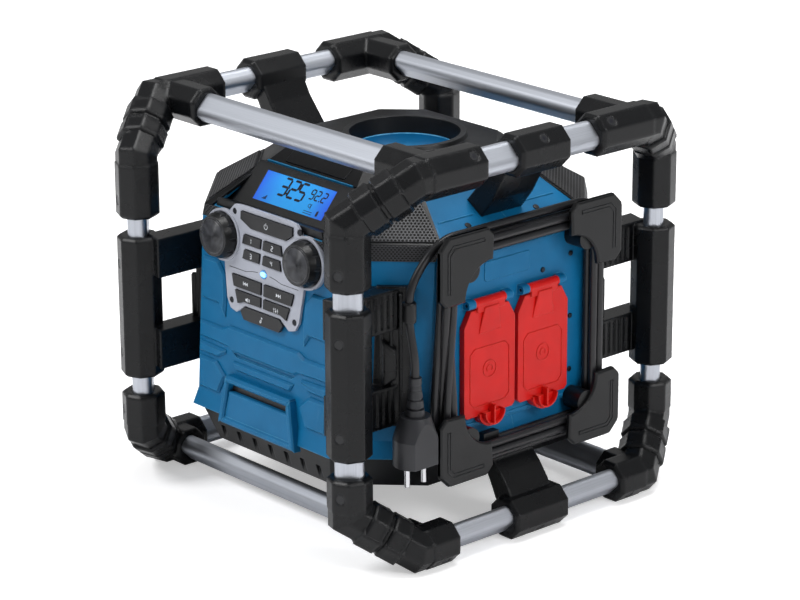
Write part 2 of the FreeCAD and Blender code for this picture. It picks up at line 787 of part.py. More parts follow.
def hood_frame():
    """Middle and directions of the display's plane: up the slope, and outward."""
    angle = math.radians(HOOD_SLOPE)
    up_slope = V(0, math.cos(angle), math.sin(angle))
    return V(0, HOOD_MID_Y, HOOD_MID_Z), up_slope, V(1, 0, 0).cross(up_slope)


def hood_plate(half, tall, low, high):
    """Rectangle on the display's plane, between two heights off it."""
    origin, up_slope, outward = hood_frame()
    base = [origin + V(x, 0, 0) + up_slope * up + outward * low
            for x, up in ((-half, -tall), (half, -tall), (half, tall), (-half, tall))]
    return prism(base, outward * (high - low))


def hood_block(grow, open_top=False):
    """The display's hood: a wedge let into the brow, cut to a taper at both ends.

    With open_top the block also takes all that stands above the hood, which is what
    the housing and the cover are cut by.
    """
    run = 1 / math.tan(math.radians(HOOD_SLOPE))
    foot_y = HOOD_MID_Y - (HOOD_MID_Z - HOOD_FOOT_Z) * run
    top_y = HOOD_MID_Y + (HOOD_TOP_Z - HOOD_MID_Z) * run
    lip_y = -HALF_Y_HIGH + 1.1
    back_y = -HALF_Y_HIGH + WALL + 0.3
    outer = [(lip_y - grow, PANEL_Z + 49.5 + grow), (lip_y + 3, PANEL_Z + 49.5 + grow),
             (foot_y, HOOD_FOOT_Z + grow), (top_y - grow, HOOD_TOP_Z + grow),
             (HOOD_BACK_Y + grow, HOOD_TOP_Z - 2 + grow)]
    if open_top:
        outer = [(lip_y - grow, HOOD_ROOM_Z), (HOOD_BACK_Y + grow, HOOD_ROOM_Z)]
    section = [(lip_y - grow, HOOD_SEAT_Z - grow), *outer,
               (HOOD_BACK_Y + grow, DECK_Z + SEAM_GAP - grow),
               (HOOD_BACK_Y - 5 + grow, DECK_Z - WALL - 1.5 - grow),
               (foot_y + 7 + grow, HOOD_SEAT_Z - 8 - grow),
               (back_y - grow, HOOD_SEAT_Z - 8 - grow), (back_y - grow, HOOD_SEAT_Z - grow)]
    wide = HOOD_HALF_LOW + 20
    body = prism([V(-wide, y, z) for y, z in section], V(2 * wide, 0, 0))
    low_z = HOOD_SEAT_Z - 12
    high_z = HOOD_TOP_Z + 8
    if open_top:
        high_z = HOOD_ROOM_Z
    fall = (HOOD_HALF_LOW - HOOD_HALF_HIGH) / (HOOD_TOP_Z + 8 - low_z)
    half_high = HOOD_HALF_LOW - fall * (high_z - low_z)
    ends = [(-HOOD_HALF_LOW - grow, low_z), (HOOD_HALF_LOW + grow, low_z),
            (half_high + grow, high_z), (-half_high - grow, high_z)]
    taper = prism([V(x, -HALF_Y_LOW, z) for x, z in ends], V(0, 100, 0))
    return body.common(taper)


def build_display():
    half = LENS_WIDE / 2
    tall = LENS_TALL / 2
    window = hood_plate(half + 0.1, tall + 0.1, -LENS_THICK - 0.3, 20)
    bezel = hood_block(0).cut(window)
    for at in panel_seats():
        bezel = bezel.cut(on_front(screw_seat(at, V(0, -1, 0), 2.8, 2.0)))
    save(bezel, "display_bezel")
    save(hood_plate(half, tall, -LENS_THICK - 0.28, -0.28), "display_lens")


def build_cover():
    """Top cover with its bowl and a media door in the front slope."""
    low = octagon(DECK_HALF, DECK_HALF, DECK_CHAMFER, DECK_Z + SEAM_GAP)
    high = octagon(COVER_HALF, COVER_HALF, COVER_CHAMFER, COVER_TOP_Z)
    body = loft([low, high])
    rim = Part.makeCone(BOWL_R + RIM_WIDE, BOWL_R + RIM_WIDE - 2, RIM_PROUD + 2,
                        V(BOWL_X, BOWL_Y, COVER_TOP_Z - 2), UP)
    body = body.fuse(rim)
    bowl = Part.makeCone(BOWL_FLOOR_R, BOWL_R, BOWL_DEPTH,
                         V(BOWL_X, BOWL_Y, COVER_TOP_Z + RIM_PROUD - BOWL_DEPTH), UP)
    top = Part.makeCylinder(BOWL_R, 5, V(BOWL_X, BOWL_Y, COVER_TOP_Z + RIM_PROUD - 0.01), UP)
    body = body.cut(bowl).cut(top)
    return body


def bowl_liner():
    """Lower half of the bowl, let into the deck under the cover."""
    top_z = DECK_Z + SEAM_GAP - 0.05
    low_z = top_z - LINER_TALL
    body = Part.makeCylinder(LINER_R, LINER_TALL, V(BOWL_X, BOWL_Y, low_z), UP)
    inside = Part.makeCone(LINER_FLOOR_R, BOWL_FLOOR_R + 1.0, LINER_TALL - LINER_FLOOR,
                           V(BOWL_X, BOWL_Y, low_z + LINER_FLOOR), UP)
    return body.cut(inside)


def save_cover():
    body = build_cover()
    save(bowl_liner(), "bowl_liner")
    pocket, door = media_door()
    save(body.cut(pocket).cut(hood_block(HOOD_FIT, True)).removeSplitter(), "top_cover")
    save(door, "media_door")


MEDIA_HALF = 40.0
MEDIA_LOW = 0.38
MEDIA_HIGH = 0.92
MEDIA_THICK = 3.0
MEDIA_GAP = 0.4


def cover_slope(share, x, lift):
    """Point on the front slope of the top cover; share is 0 at its foot."""
    low = V(0, -DECK_HALF, DECK_Z + SEAM_GAP)
    high = V(0, -COVER_HALF, COVER_TOP_Z)
    along = high - low
    outward = V(1, 0, 0).cross(V(along).normalize())
    return low + along * share + V(x, 0, 0) + outward * lift


def media_door():
    reach = (V(0, -COVER_HALF, COVER_TOP_Z) - V(0, -DECK_HALF, DECK_Z)).Length
    gap = MEDIA_GAP / reach
    pocket = [cover_slope(s, x, -MEDIA_THICK + 0.2) for x, s in
              ((-MEDIA_HALF, MEDIA_LOW), (MEDIA_HALF, MEDIA_LOW),
               (MEDIA_HALF, MEDIA_HIGH), (-MEDIA_HALF, MEDIA_HIGH))]
    outward = (cover_slope(0.5, 0, 1) - cover_slope(0.5, 0, 0)).normalize()
    hole = prism(pocket, outward * (MEDIA_THICK + 20))
    x = MEDIA_HALF - MEDIA_GAP
    plate = [cover_slope(s, u, -MEDIA_THICK + 0.6) for u, s in
             ((-x, MEDIA_LOW + gap), (x, MEDIA_LOW + gap),
              (x, MEDIA_HIGH - gap), (-x, MEDIA_HIGH - gap))]
    door = prism(plate, outward * MEDIA_THICK)
    tab = [cover_slope(s, u, 0.5) for u, s in
           ((-5, MEDIA_HIGH - 6 * gap), (5, MEDIA_HIGH - 6 * gap),
            (5, MEDIA_HIGH - gap), (-5, MEDIA_HIGH - gap))]
    door = door.fuse(prism(tab, outward * 2.0)).removeSplitter()
    return hole, door


def build_base():
    high = octagon(HALF_X - 2, HALF_Y_LOW - 2, CHAMFER, HEM_LOW_Z - SEAM_GAP)
    low = octagon(HALF_X - 2 - BASE_INSET, HALF_Y_LOW - 2 - BASE_INSET, CHAMFER, BASE_LOW_Z)
    skid = loft([low, high])
    # Grooves across the skirt, front and back
    for y_sign in (-1, 1):
        for i in range(-3, 4):
            x = i * 22.0
            y = y_sign * (HALF_Y_LOW - 4)
            skid = skid.cut(block(x - 3, x + 3, y - 8, y + 8, BASE_LOW_Z - 1, BASE_LOW_Z + 16))
    save(skid.removeSplitter(), "base_skid")


def lid_places():
    half = (LID_WIDE + LID_GAP) / 2
    return [("left", LID_MID_Y - half), ("right", LID_MID_Y + half)]


def socket_z():
    return (LID_LOW_Z + LID_HINGE_Z) / 2 - 4


def build_outlets():
    x0 = HALF_X + SEAM_GAP
    x1 = x0 + PLATE_THICK
    cut = 12.0
    h = PLATE_HALF
    outline = [V(x0, -h + cut, PLATE_LOW_Z), V(x0, h - cut, PLATE_LOW_Z),
               V(x0, h, PLATE_LOW_Z + cut), V(x0, h, PLATE_HIGH_Z - cut),
               V(x0, h - cut, PLATE_HIGH_Z), V(x0, -h + cut, PLATE_HIGH_Z),
               V(x0, -h, PLATE_HIGH_Z - cut), V(x0, -h, PLATE_LOW_Z + cut)]
    plate = prism(outline, V(PLATE_THICK, 0, 0))
    hinge_x = x1 + KNUCKLE_R + 0.4
    inserts = []
    pins = []
    for side, y in lid_places():
        plate = plate.cut(Part.makeCylinder(SOCKET_R + 0.1, 10, V(x0 - 1, y, socket_z()),
                                            V(1, 0, 0)))
        back = x1 - SOCKET_DEEP
        cup = Part.makeCylinder(SOCKET_R, SOCKET_DEEP, V(back, y, socket_z()), V(1, 0, 0))
        cup = cup.cut(Part.makeCylinder(SOCKET_BORE_R, SOCKET_DEEP,
                                        V(back + SOCKET_FLOOR, y, socket_z()), V(1, 0, 0)))
        for dy in (-SOCKET_PIN_GAP / 2, SOCKET_PIN_GAP / 2):
            cup = cup.cut(Part.makeCylinder(SOCKET_PIN_R, SOCKET_DEEP,
                                            V(back - 1, y + dy, socket_z()), V(1, 0, 0)))
        inserts.append(cup)
        lug_half = 4.0
        barrel = LID_WIDE / 2 - 12
        for dy in (-barrel - lug_half, barrel + lug_half):
            lug = Part.makeCylinder(KNUCKLE_R, 2 * lug_half,
                                    V(hinge_x, y + dy - lug_half, LID_HINGE_Z), V(0, 1, 0))
            web = block(x1 - 0.5, hinge_x, y + dy - lug_half, y + dy + lug_half,
                        LID_HINGE_Z - KNUCKLE_R, LID_HINGE_Z + KNUCKLE_R)
            plate = plate.fuse(lug).fuse(web)
        plate = plate.cut(Part.makeCylinder(PIN_R + PIN_FIT, LID_WIDE,
                                            V(hinge_x, y - LID_WIDE / 2, LID_HINGE_Z),
                                            V(0, 1, 0)))
        reach = barrel + 2 * lug_half
        pins.append(Part.makeCylinder(PIN_R, 2 * reach, V(hinge_x, y - reach, LID_HINGE_Z),
                                      V(0, 1, 0)))
        lid = lid_solid(y, x1, hinge_x, barrel)
        save(lid, "outlet_lid_" + side)
    save(plate.removeSplitter(), "outlets_plate")
    save(inserts, "socket_inserts")
    save(pins, "lid_pins")


def lid_solid(y, x1, hinge_x, barrel):
    w = LID_WIDE / 2
    x_in = x1 + 0.4
    top = LID_HINGE_Z - KNUCKLE_R - 1.5
    outline = [V(x_in, y - w, LID_LOW_Z + 3), V(x_in, y - w + 3, LID_LOW_Z),
               V(x_in, y + w - 3, LID_LOW_Z), V(x_in, y + w, LID_LOW_Z + 3),
               V(x_in, y + w, top - 14), V(x_in, y + w - 8, top),
               V(x_in, y - w + 8, top), V(x_in, y - w, top - 14)]
    lid = prism(outline, V(LID_THICK, 0, 0))
    knuckle = Part.makeCylinder(KNUCKLE_R, 2 * barrel - 0.6,
                                V(hinge_x, y - barrel + 0.3, LID_HINGE_Z), V(0, 1, 0))
    neck = block(hinge_x - 1.5, hinge_x + KNUCKLE_R - 0.5, y - barrel + 2, y + barrel - 2,
                 top - 2, LID_HINGE_Z)
    lid = lid.fuse(knuckle).fuse(neck)
    lid = lid.cut(Part.makeCylinder(PIN_R + PIN_FIT, LID_WIDE,
                                    V(hinge_x, y - LID_WIDE / 2, LID_HINGE_Z), V(0, 1, 0)))
    tab = Part.makeCylinder(15, LID_THICK + 3, V(x_in, y, LID_LOW_Z + 4), V(1, 0, 0))
    keep = block(x_in, x_in + LID_THICK + 9, y - 14, y + 14, LID_LOW_Z - 12, LID_LOW_Z + 2)
    tab = tab.common(keep)
    return lid.fuse(tab).removeSplitter()


def plate_face_x():
    return HALF_X + SEAM_GAP + PLATE_THICK


def hook():
    """Front top cord hook: a bevelled L plate on a stand-off post."""
    x0 = HOOK_OUT_X - HOOK_PLATE
    y_out = -HOOK_HALF_Y
    z_out = HOOK_HIGH_Z
    arm = HOOK_ARM
    wide = 24.0
    cut = 12.0
    outline = [V(x0, y_out, z_out - arm), V(x0, y_out, z_out - cut),
               V(x0, y_out + cut, z_out), V(x0, y_out + arm, z_out),
               V(x0, y_out + arm, z_out - wide), V(x0, y_out + wide + 8, z_out - wide - 4),
               V(x0, y_out + wide, z_out - wide - 14), V(x0, y_out + wide, z_out - arm)]
    plate = prism(outline, V(HOOK_PLATE - 1, 0, 0))
    foot_x = plate_face_x() + 0.1
    drum = WIND_R - CORD_R - HOOK_POST_FIT
    leg = Part.makeCylinder(drum, x0 + 1 - foot_x,
                            V(foot_x, -WIND_HALF_Y + WIND_R, WIND_HIGH_Z - WIND_R), V(1, 0, 0))
    return plate.fuse(leg).removeSplitter()


def build_hooks():
    one = hook()
    mid = (WIND_HIGH_Z + WIND_LOW_Z) / 2
    hooks = []
    for flip_z in (False, True):
        shape = one.mirror(V(0, 0, mid), V(0, 0, 1)) if flip_z else one
        for flip_y in (False, True):
            hooks.append(mirrored(shape, False, flip_y))
    save(hooks, "cord_hooks")


def s_bend(a, b, along):
    """Two equal arcs that shift a run sideways; both ends point along it."""
    mid = (a + b) * 0.5
    arcs = []
    for p, q, turn in ((a, mid, -1), (mid, b, 1)):
        chord = q - p
        side = chord - along * chord.dot(along)
        half = math.atan2(side.Length, abs(chord.dot(along)))
        bow = chord.Length / 2 * math.tan(half / 2)
        across = V(chord).normalize()
        normal = side - across * side.dot(across)
        normal.normalize()
        arcs.append(Part.Arc(p, (p + q) * 0.5 + normal * (bow * turn), q).toShape())
    return arcs


def cord_path():
    """Turns of the cord as tangent lines and arcs, then the run to the plug."""
    edges = []

    def line(a, b):
        edges.append(Part.LineSegment(a, b).toShape())

    def quarter(a, corner_at, b):
        """Arc from a to b round the corner point's square."""
        centre = a + b - corner_at
        middle = centre + V(corner_at - centre).normalize() * (a - centre).Length
        edges.append(Part.Arc(a, middle, b).toShape())

    r = WIND_R
    x = WIND_X
    grow = 0.0
    turns = WIND_TURNS
    hy = WIND_HALF_Y
    z0 = WIND_LOW_Z
    z1 = WIND_HIGH_Z
    start = V(x, GLAND_Y, z0)
    at = start
    for turn in range(turns):
        y_r = hy + grow
        low = z0 - grow
        high = z1 + grow
        rr = r + grow
        nxt = V(x, y_r - rr, low)
        line(at, nxt)
        quarter(nxt, V(x, y_r, low), V(x, y_r, low + rr))
        line(V(x, y_r, low + rr), V(x, y_r, high - rr))
        quarter(V(x, y_r, high - rr), V(x, y_r, high), V(x, y_r - rr, high))
        line(V(x, y_r - rr, high), V(x, -y_r + rr, high))
        if turn == turns - 1:
            at = V(x, -y_r + rr, high)
            break
        quarter(V(x, -y_r + rr, high), V(x, -y_r, high), V(x, -y_r, high - rr))
        layer_now = turn // WIND_COLUMNS
        layer_next = (turn + 1) // WIND_COLUMNS
        a = V(x, -y_r, high - rr - 8)
        line(V(x, -y_r, high - rr), a)
        if layer_now == layer_next:
            x += CORD_PITCH if layer_now % 2 == 0 else -CORD_PITCH
            b = V(x, -y_r, low + rr + 8)
        else:
            grow += CORD_PITCH
            b = V(x, -(hy + grow), low + rr + 8)
        edges += s_bend(a, b, DOWN)
        low = z0 - grow
        rr = r + grow
        y_r = hy + grow
        line(b, V(x, -y_r, low + rr))
        quarter(V(x, -y_r, low + rr), V(x, -y_r, low), V(x, -y_r + rr, low))
        at = V(x, -y_r + rr, low)
    # The free run bends down outside the top front hook, to the strain relief
    return edges, at, start


def circle_wire(centre, axis, radius):
    return Part.Wire(Part.makeCircle(radius, centre, axis))


def build_cord():
    edges, at, start = cord_path()
    path = Part.Wire(edges)
    profile = circle_wire(start, V(0, 1, 0), CORD_R)
    winding = path.makePipeShell([profile], True, False)
    want = math.pi * CORD_R ** 2 * path.Length
    print("winding volume", round(winding.Volume), "section x length", round(want),
          "length", round(path.Length))
    save(winding, "cord_winding")
    gland = block(HALF_X + HEM_FLARE + 0.2, WIND_X + CORD_R, GLAND_Y - GLAND_LONG, GLAND_Y - 0.02,
                  WIND_LOW_Z - CORD_R - 0.3, WIND_LOW_Z + CORD_R + 5)
    save(gland, "cord_gland")
    # Tail: on along the top, a wide quarter turn, then down and out to the relief
    end = V(PLUG_X, PLUG_Y, PLUG_TOP_Z + RELIEF_LENGTH)
    radius = at.y - PLUG_Y
    turn_end = V(at.x, PLUG_Y, at.z - radius)
    centre = V(at.x, at.y, at.z - radius)
    middle = centre + V(0, -1, 1).normalize() * radius
    tail_edges = [Part.Arc(at, middle, turn_end).toShape()]
    drop = V(PLUG_X, PLUG_Y, end.z + 2 * CORD_R)
    tail_edges += s_bend(turn_end, drop, DOWN)
    tail_edges.append(Part.LineSegment(drop, end).toShape())
    tail_path = Part.Wire(tail_edges)
    tail = tail_path.makePipeShell([circle_wire(at, V(0, -1, 0), CORD_R)], True, False)
    print("tail volume", round(tail.Volume), "section x length",
          round(math.pi * CORD_R ** 2 * tail_path.Length), "radius", round(radius, 1),
          "length", round(tail_path.Length))
    save(tail, "cord_tail")
    # Strain relief and plug hang below the tail
    x = PLUG_X
    relief = Part.makeCone(8.5, 5.0, RELIEF_LENGTH - 6, V(x, PLUG_Y, PLUG_TOP_Z), UP)
    relief = relief.fuse(Part.makeCylinder(5.6, 6, V(x, PLUG_Y, end.z - 6), UP))
    for i in range(3):
        z = PLUG_TOP_Z + 6 + i * 8
        ring = Part.makeCylinder(12, 2, V(x, PLUG_Y, z), UP)
        ring = ring.cut(Part.makeCylinder(5.2, 2, V(x, PLUG_Y, z), UP))
        relief = relief.cut(ring)
    save(relief.removeSplitter(), "strain_relief")
    wide = PLUG_HALF_WIDE
    thick = PLUG_HALF_THICK
    body = Part.makeCone(wide, 13.0, 20, V(x, PLUG_Y, PLUG_TOP_Z - 20.02), UP)
    body = body.fuse(Part.makeCylinder(wide, 24, V(x, PLUG_Y, PLUG_TOP_Z - 44), UP))
    flat = block(x - thick, x + thick, PLUG_Y - 25, PLUG_Y + 25, PLUG_TOP_Z - 50, PLUG_TOP_Z + 5)
    plug = body.common(flat)
    pins = []
    for dy in (-9.5, 9.5):
        spot = V(x, PLUG_Y + dy, PLUG_TOP_Z - 44 - 19)
        pins.append(Part.makeCylinder(2.4, 18.98, spot, UP))
    save(plug.removeSplitter(), "plug")
    save(pins, "plug_pins")


def build_back():
    half = DOOR_WIDE / 2
    door = front_plate([(-half, DOOR_Z - DOOR_TALL / 2), (half, DOOR_Z - DOOR_TALL / 2),
                        (half, DOOR_Z + DOOR_TALL / 2), (-half, DOOR_Z + DOOR_TALL / 2)],
                       SEAM_GAP, DOOR_THICK)
    door = on_front(door).mirror(V(0, 0, 0), V(0, 1, 0))
    save(door, "battery_door")


def build_inner():
    board = block(-90, 90, -60, 60, HEM_LOW_Z + WALL + 6, HEM_LOW_Z + WALL + 8)
    feet = [block(x - 4, x + 4, y - 4, y + 4, HEM_LOW_Z + WALL, HEM_LOW_Z + WALL + 6)
            for x in (-80, 80) for y in (-50, 50)]
    core = block(-30, 30, -26, 26, HEM_LOW_Z + WALL + 8, HEM_LOW_Z + WALL + 58)
    save(fuse([board, core] + feet), "power_supply")
    drivers = []
    step, brow, deck = upper_sections(0)
    a, b, c, d = brow[0], brow[1], deck[1], deck[0]
    normal = (b - a).cross(d - a).normalize()
    if normal.z < 0:
        normal = normal * -1
    centre = (a + b + c + d) * 0.25 - normal * (WALL + 1.7)
    one = Part.makeCone(DRIVER_R * 0.55, DRIVER_R * 0.35, DRIVER_DEPTH, centre, normal * -1)
    for _, fx, fy in SIDES:
        drivers.append(mirrored(one, fx, fy))
    save(drivers, "speaker_drivers")


def build_housing():
    shell = housing()
    big = 600
    front = shell.common(block(-big, big, -big, 0, -big, big))
    rear = shell.common(block(-big, big, 0.01, big, -big, big))
    drill = []
    for sign in (-1, 1):
        axis = V(sign * KNOB_X, 0, PANEL_Z + KNOB_UP)
        drill.append(on_front(Part.makeCylinder(SHAFT_R + SHAFT_FIT, 40, axis + V(0, 20, 0),
                                                V(0, -1, 0))))
    drill += [on_front(screw_seat(at, V(0, -1, 0), 2.8, 2.0)) for at in panel_seats()]
    for tool in drill:
        front = front.cut(tool)
    bowl = Part.makeCylinder(BOWL_R + 4, 40, V(BOWL_X, BOWL_Y, DECK_Z - WALL - 0.5), UP)
    front = front.cut(bowl)
    rear = rear.cut(bowl)
    # Opening for the display's hood, and the long crease under the panel
    front = front.cut(hood_block(HOOD_FIT, True))
    crease = front_plate([(-CREASE_HALF, CREASE_Z), (-CREASE_HALF + 5, CREASE_Z - 3.5),
                          (CREASE_HALF - 5, CREASE_Z - 3.5), (CREASE_HALF, CREASE_Z)],
                         -CREASE_DEEP, 6.0)
    front = front.cut(on_front(crease))
    # Window behind the outlet plate for its socket cups
    ends = [y + sign * (SOCKET_R + WINDOW_ROOM) for _, y in lid_places() for sign in (-1, 1)]
    tall = SOCKET_R + WINDOW_ROOM
    window = block(HALF_X - 30, HALF_X + 10, min(ends), max(ends),
                   socket_z() - tall, socket_z() + tall)
    front = front.cut(window)
    rear = rear.cut(window)
    # Battery bay behind its door
    half = BAY_WIDE / 2
    low = DOOR_Z - BAY_TALL / 2
    high = DOOR_Z + BAY_TALL / 2
    w = BAY_WALL
    tub = front_plate([(-half - w, low - w), (half + w, low - w), (half + w, high + w),
                       (-half - w, high + w)], -BAY_DEEP - w, -1.0)
    room = front_plate([(-half, low), (half, low), (half, high), (-half, high)], -BAY_DEEP, 5.0)
    tub = on_front(tub).mirror(V(0, 0, 0), V(0, 1, 0))
    room = on_front(room).mirror(V(0, 0, 0), V(0, 1, 0))
    rear = rear.fuse(tub).cut(room).removeSplitter()
    save(front, "front_housing")
    save(rear, "rear_housing")
    grille_one = grille(0)
    save([mirrored(grille_one, fx, fy) for _, fx, fy in SIDES], "speaker_grilles")


def main():
    os.makedirs("parts", exist_ok=True)
    build_cage()
    build_mounts()
    build_base()
    build_housing()
    build_display()
    build_front()
    save_cover()
    build_outlets()
    build_hooks()
    build_cord()
    build_back()
    build_inner()
    screws = [on_front(screw(at + V(0, 1.98, 0), V(0, -1, 0), 2.8, 1.6)) for at in panel_seats()]
    save(screws, "panel_screws")


main()
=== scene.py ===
"""Jobsite radio in a roll cage: finishes, cord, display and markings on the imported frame.

Lengths are metres in the frame's own axes: X to the outlets' side, -Y to the display, Z up.
"""
from __future__ import annotations

import logging
import math
from dataclasses import dataclass, field
from enum import Enum

import bpy
import numpy as np
from mathutils import Matrix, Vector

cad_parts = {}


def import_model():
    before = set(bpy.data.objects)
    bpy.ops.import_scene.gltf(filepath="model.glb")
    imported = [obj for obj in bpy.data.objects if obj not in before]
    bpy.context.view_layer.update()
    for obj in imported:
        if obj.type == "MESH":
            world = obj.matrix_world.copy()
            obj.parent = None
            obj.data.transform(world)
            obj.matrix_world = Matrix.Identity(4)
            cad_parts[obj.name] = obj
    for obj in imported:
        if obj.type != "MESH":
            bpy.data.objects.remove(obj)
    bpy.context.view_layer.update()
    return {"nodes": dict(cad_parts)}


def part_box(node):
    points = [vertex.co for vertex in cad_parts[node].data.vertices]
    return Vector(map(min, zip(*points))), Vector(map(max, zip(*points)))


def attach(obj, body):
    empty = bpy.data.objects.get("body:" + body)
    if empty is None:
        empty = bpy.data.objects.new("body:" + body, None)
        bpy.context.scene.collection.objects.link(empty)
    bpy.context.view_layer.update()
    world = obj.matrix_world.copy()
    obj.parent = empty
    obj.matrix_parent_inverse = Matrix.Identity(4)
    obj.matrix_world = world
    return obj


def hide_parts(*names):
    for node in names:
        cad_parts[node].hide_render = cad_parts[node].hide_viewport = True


LOG = logging.getLogger("jobsite_radio")
MM = 0.001
Vec = tuple[float, float, float]
Colour = tuple[float, float, float]
BODY = "radio"

X_AXIS = np.array([1.0, 0.0, 0.0])
Y_AXIS = np.array([0.0, 1.0, 0.0])
Z_AXIS = np.array([0.0, 0.0, 1.0])
FRONT_TILT = math.atan2(10.0, 173.0)
LID_THICK = 6.0
SLOPE_RISE = 28.0
SLOPE_RUN = 44.0
SLOPE_LONG = math.hypot(SLOPE_RISE, SLOPE_RUN)


def colour_of(red: int, green: int, blue: int) -> Colour:
    """Turn an sRGB colour in 0 to 255 into the linear colour a shader takes.

    Args:
        red: red as seen on a screen.
        green: green as seen on a screen.
        blue: blue as seen on a screen.

    Returns:
        The linear colour.
    """
    parts = np.array([red, green, blue]) / 255.0
    low = parts / 12.92
    high = ((parts + 0.055) / 1.055) ** 2.4
    return tuple(float(v) for v in np.where(parts <= 0.04045, low, high))


class Socket(Enum):
    """Kinds of socket on a node group."""

    VALUE = "NodeSocketFloat"
    COLOUR = "NodeSocketColor"
    VECTOR = "NodeSocketVector"


# Shader node groups


@dataclass
class GroupBuilder:
    """A small writer for shader node trees."""

    tree: bpy.types.NodeTree

    @classmethod
    def group(cls, name: str, inputs: dict[str, tuple[Socket, object]],
              outputs: dict[str, Socket]) -> "GroupBuilder":
        """Start a node group with named sockets.

        Args:
            name: the group's name.
            inputs: socket name to its kind and default value.
            outputs: socket name to its kind.

        Returns:
            The builder of the new group.
        """
        tree = bpy.data.node_groups.new(name, "ShaderNodeTree")
        for label, (kind, value) in inputs.items():
            made = tree.interface.new_socket(label, in_out="INPUT", socket_type=kind.value)
            if value is not None:
                made.default_value = value
        for label, kind in outputs.items():
            tree.interface.new_socket(label, in_out="OUTPUT", socket_type=kind.value)
        return cls(tree)

    def node(self, kind: str, **settings: object) -> bpy.types.Node:
        """Add a node and set its properties.

        Args:
            kind: the node's type name.
            settings: properties of the node.

        Returns:
            The node.
        """
        made = self.tree.nodes.new(kind)
        for key, value in settings.items():
            setattr(made, key, value)
        return made

    def feed(self, target: bpy.types.NodeSocket, source: object) -> None:
        """Give a socket a link or a plain value.

        Args:
            target: the socket.
            source: another socket to link it to, or its value.
        """
        if isinstance(source, bpy.types.NodeSocket):
            self.tree.links.new(source, target)
        else:
            target.default_value = source

    def math(self, operation: str, *sources: object, clamp: bool = False) -> bpy.types.NodeSocket:
        """Add a Math node.

        Args:
            operation: the node's operation.
            sources: links or numbers for its inputs.
            clamp: whether the answer is kept between 0 and 1.

        Returns:
            The node's output.
        """
        made = self.node("ShaderNodeMath", operation=operation, use_clamp=clamp)
        for target, source in zip(made.inputs, sources):
            self.feed(target, source)
        return made.outputs[0]

    def remap(self, value: object, low: float, high: float, to_low: float,
              to_high: float) -> bpy.types.NodeSocket:
        """Map a value from one range to another, clamped at both ends.

        Args:
            value: the link or number to map.
            low: lowest value taken in.
            high: highest value taken in.
            to_low: value given at the low end.
            to_high: value given at the high end.

        Returns:
            The mapped value.
        """
        made = self.node("ShaderNodeMapRange", clamp=True)
        for target, source in zip(made.inputs, (value, low, high, to_low, to_high)):
            self.feed(target, source)
        return made.outputs[0]

    def mix(self, share: object, first: object, second: object) -> bpy.types.NodeSocket:
        """Blend two colours by a share.

        Args:
            share: 0 gives the first and 1 the second.
            first: link or colour.
            second: link or colour.

        Returns:
            The blended colour.
        """
        made = self.node("ShaderNodeMix", data_type="RGBA")
        self.feed(made.inputs[0], share)
        self.feed(made.inputs[6], as_rgba(first))
        self.feed(made.inputs[7], as_rgba(second))
        return made.outputs[2]

    def noise(self, vector: object, scale: object, detail: float = 2.0) -> bpy.types.NodeSocket:
        """Add a noise texture.

        Args:
            vector: where it is sampled.
            scale: how many cells it has in a metre.
            detail: how many finer layers are added to it.

        Returns:
            Its value, from 0 to 1.
        """
        made = self.node("ShaderNodeTexNoise")
        self.feed(made.inputs["Vector"], vector)
        self.feed(made.inputs["Scale"], scale)
        made.inputs["Detail"].default_value = detail
        return made.outputs["Fac"]


def as_rgba(value: object) -> object:
    """Add an alpha of 1 to a plain colour and leave links alone."""
    if isinstance(value, tuple) and len(value) == 3:
        return (*value, 1.0)
    return value


def grain_group() -> bpy.types.NodeTree:
    """Moulded grain: fine noise for height, and a slow noise that varies the tone.

    Returns:
        The node group, with Height and Tone outputs from 0 to 1.
    """
    made = GroupBuilder.group(
        "Moulded grain",
        {"Vector": (Socket.VECTOR, None), "Size": (Socket.VALUE, 0.0008)},
        {"Height": Socket.VALUE, "Tone": Socket.VALUE})
    entry = made.node("NodeGroupInput")
    leave = made.node("NodeGroupOutput")
    scale = made.math("DIVIDE", 1.0, entry.outputs["Size"])
    fine = made.noise(entry.outputs["Vector"], scale, 3.0)
    made.feed(leave.inputs["Height"], made.remap(fine, 0.3, 0.7, 0.0, 1.0))
    slow = made.noise(entry.outputs["Vector"], 38.0, 3.0)
    made.feed(leave.inputs["Tone"], made.remap(slow, 0.3, 0.7, 0.0, 1.0))
    return made.tree


def edge_group() -> bpy.types.NodeTree:
    """Edge mask for worn edges and painted edge highlights: 1 minus the cosine between the face's
    normal and its rounded normal.

    Returns:
        The node group, with the rounded Normal and an Edge mask from 0 to 1.
    """
    made = GroupBuilder.group(
        "Rounded edge",
        {"Radius": (Socket.VALUE, 0.0012), "Vector": (Socket.VECTOR, None)},
        {"Normal": Socket.VECTOR, "Edge": Socket.VALUE})
    entry = made.node("NodeGroupInput")
    leave = made.node("NodeGroupOutput")
    round_over = made.node("ShaderNodeBevel", samples=6)
    made.feed(round_over.inputs["Radius"], entry.outputs["Radius"])
    face = made.node("ShaderNodeNewGeometry")
    dot = made.node("ShaderNodeVectorMath", operation="DOT_PRODUCT")
    made.feed(dot.inputs[0], round_over.outputs[0])
    made.feed(dot.inputs[1], face.outputs["True Normal"])
    bend = made.math("SUBTRACT", 1.0, dot.outputs["Value"])
    sharp = made.remap(bend, 0.02, 0.16, 0.0, 1.0)
    patch = made.remap(made.noise(entry.outputs["Vector"], 160.0, 3.0), 0.35, 0.62, 0.35, 1.0)
    made.feed(leave.inputs["Normal"], round_over.outputs[0])
    made.feed(leave.inputs["Edge"], made.math("MULTIPLY", sharp, patch))
    return made.tree


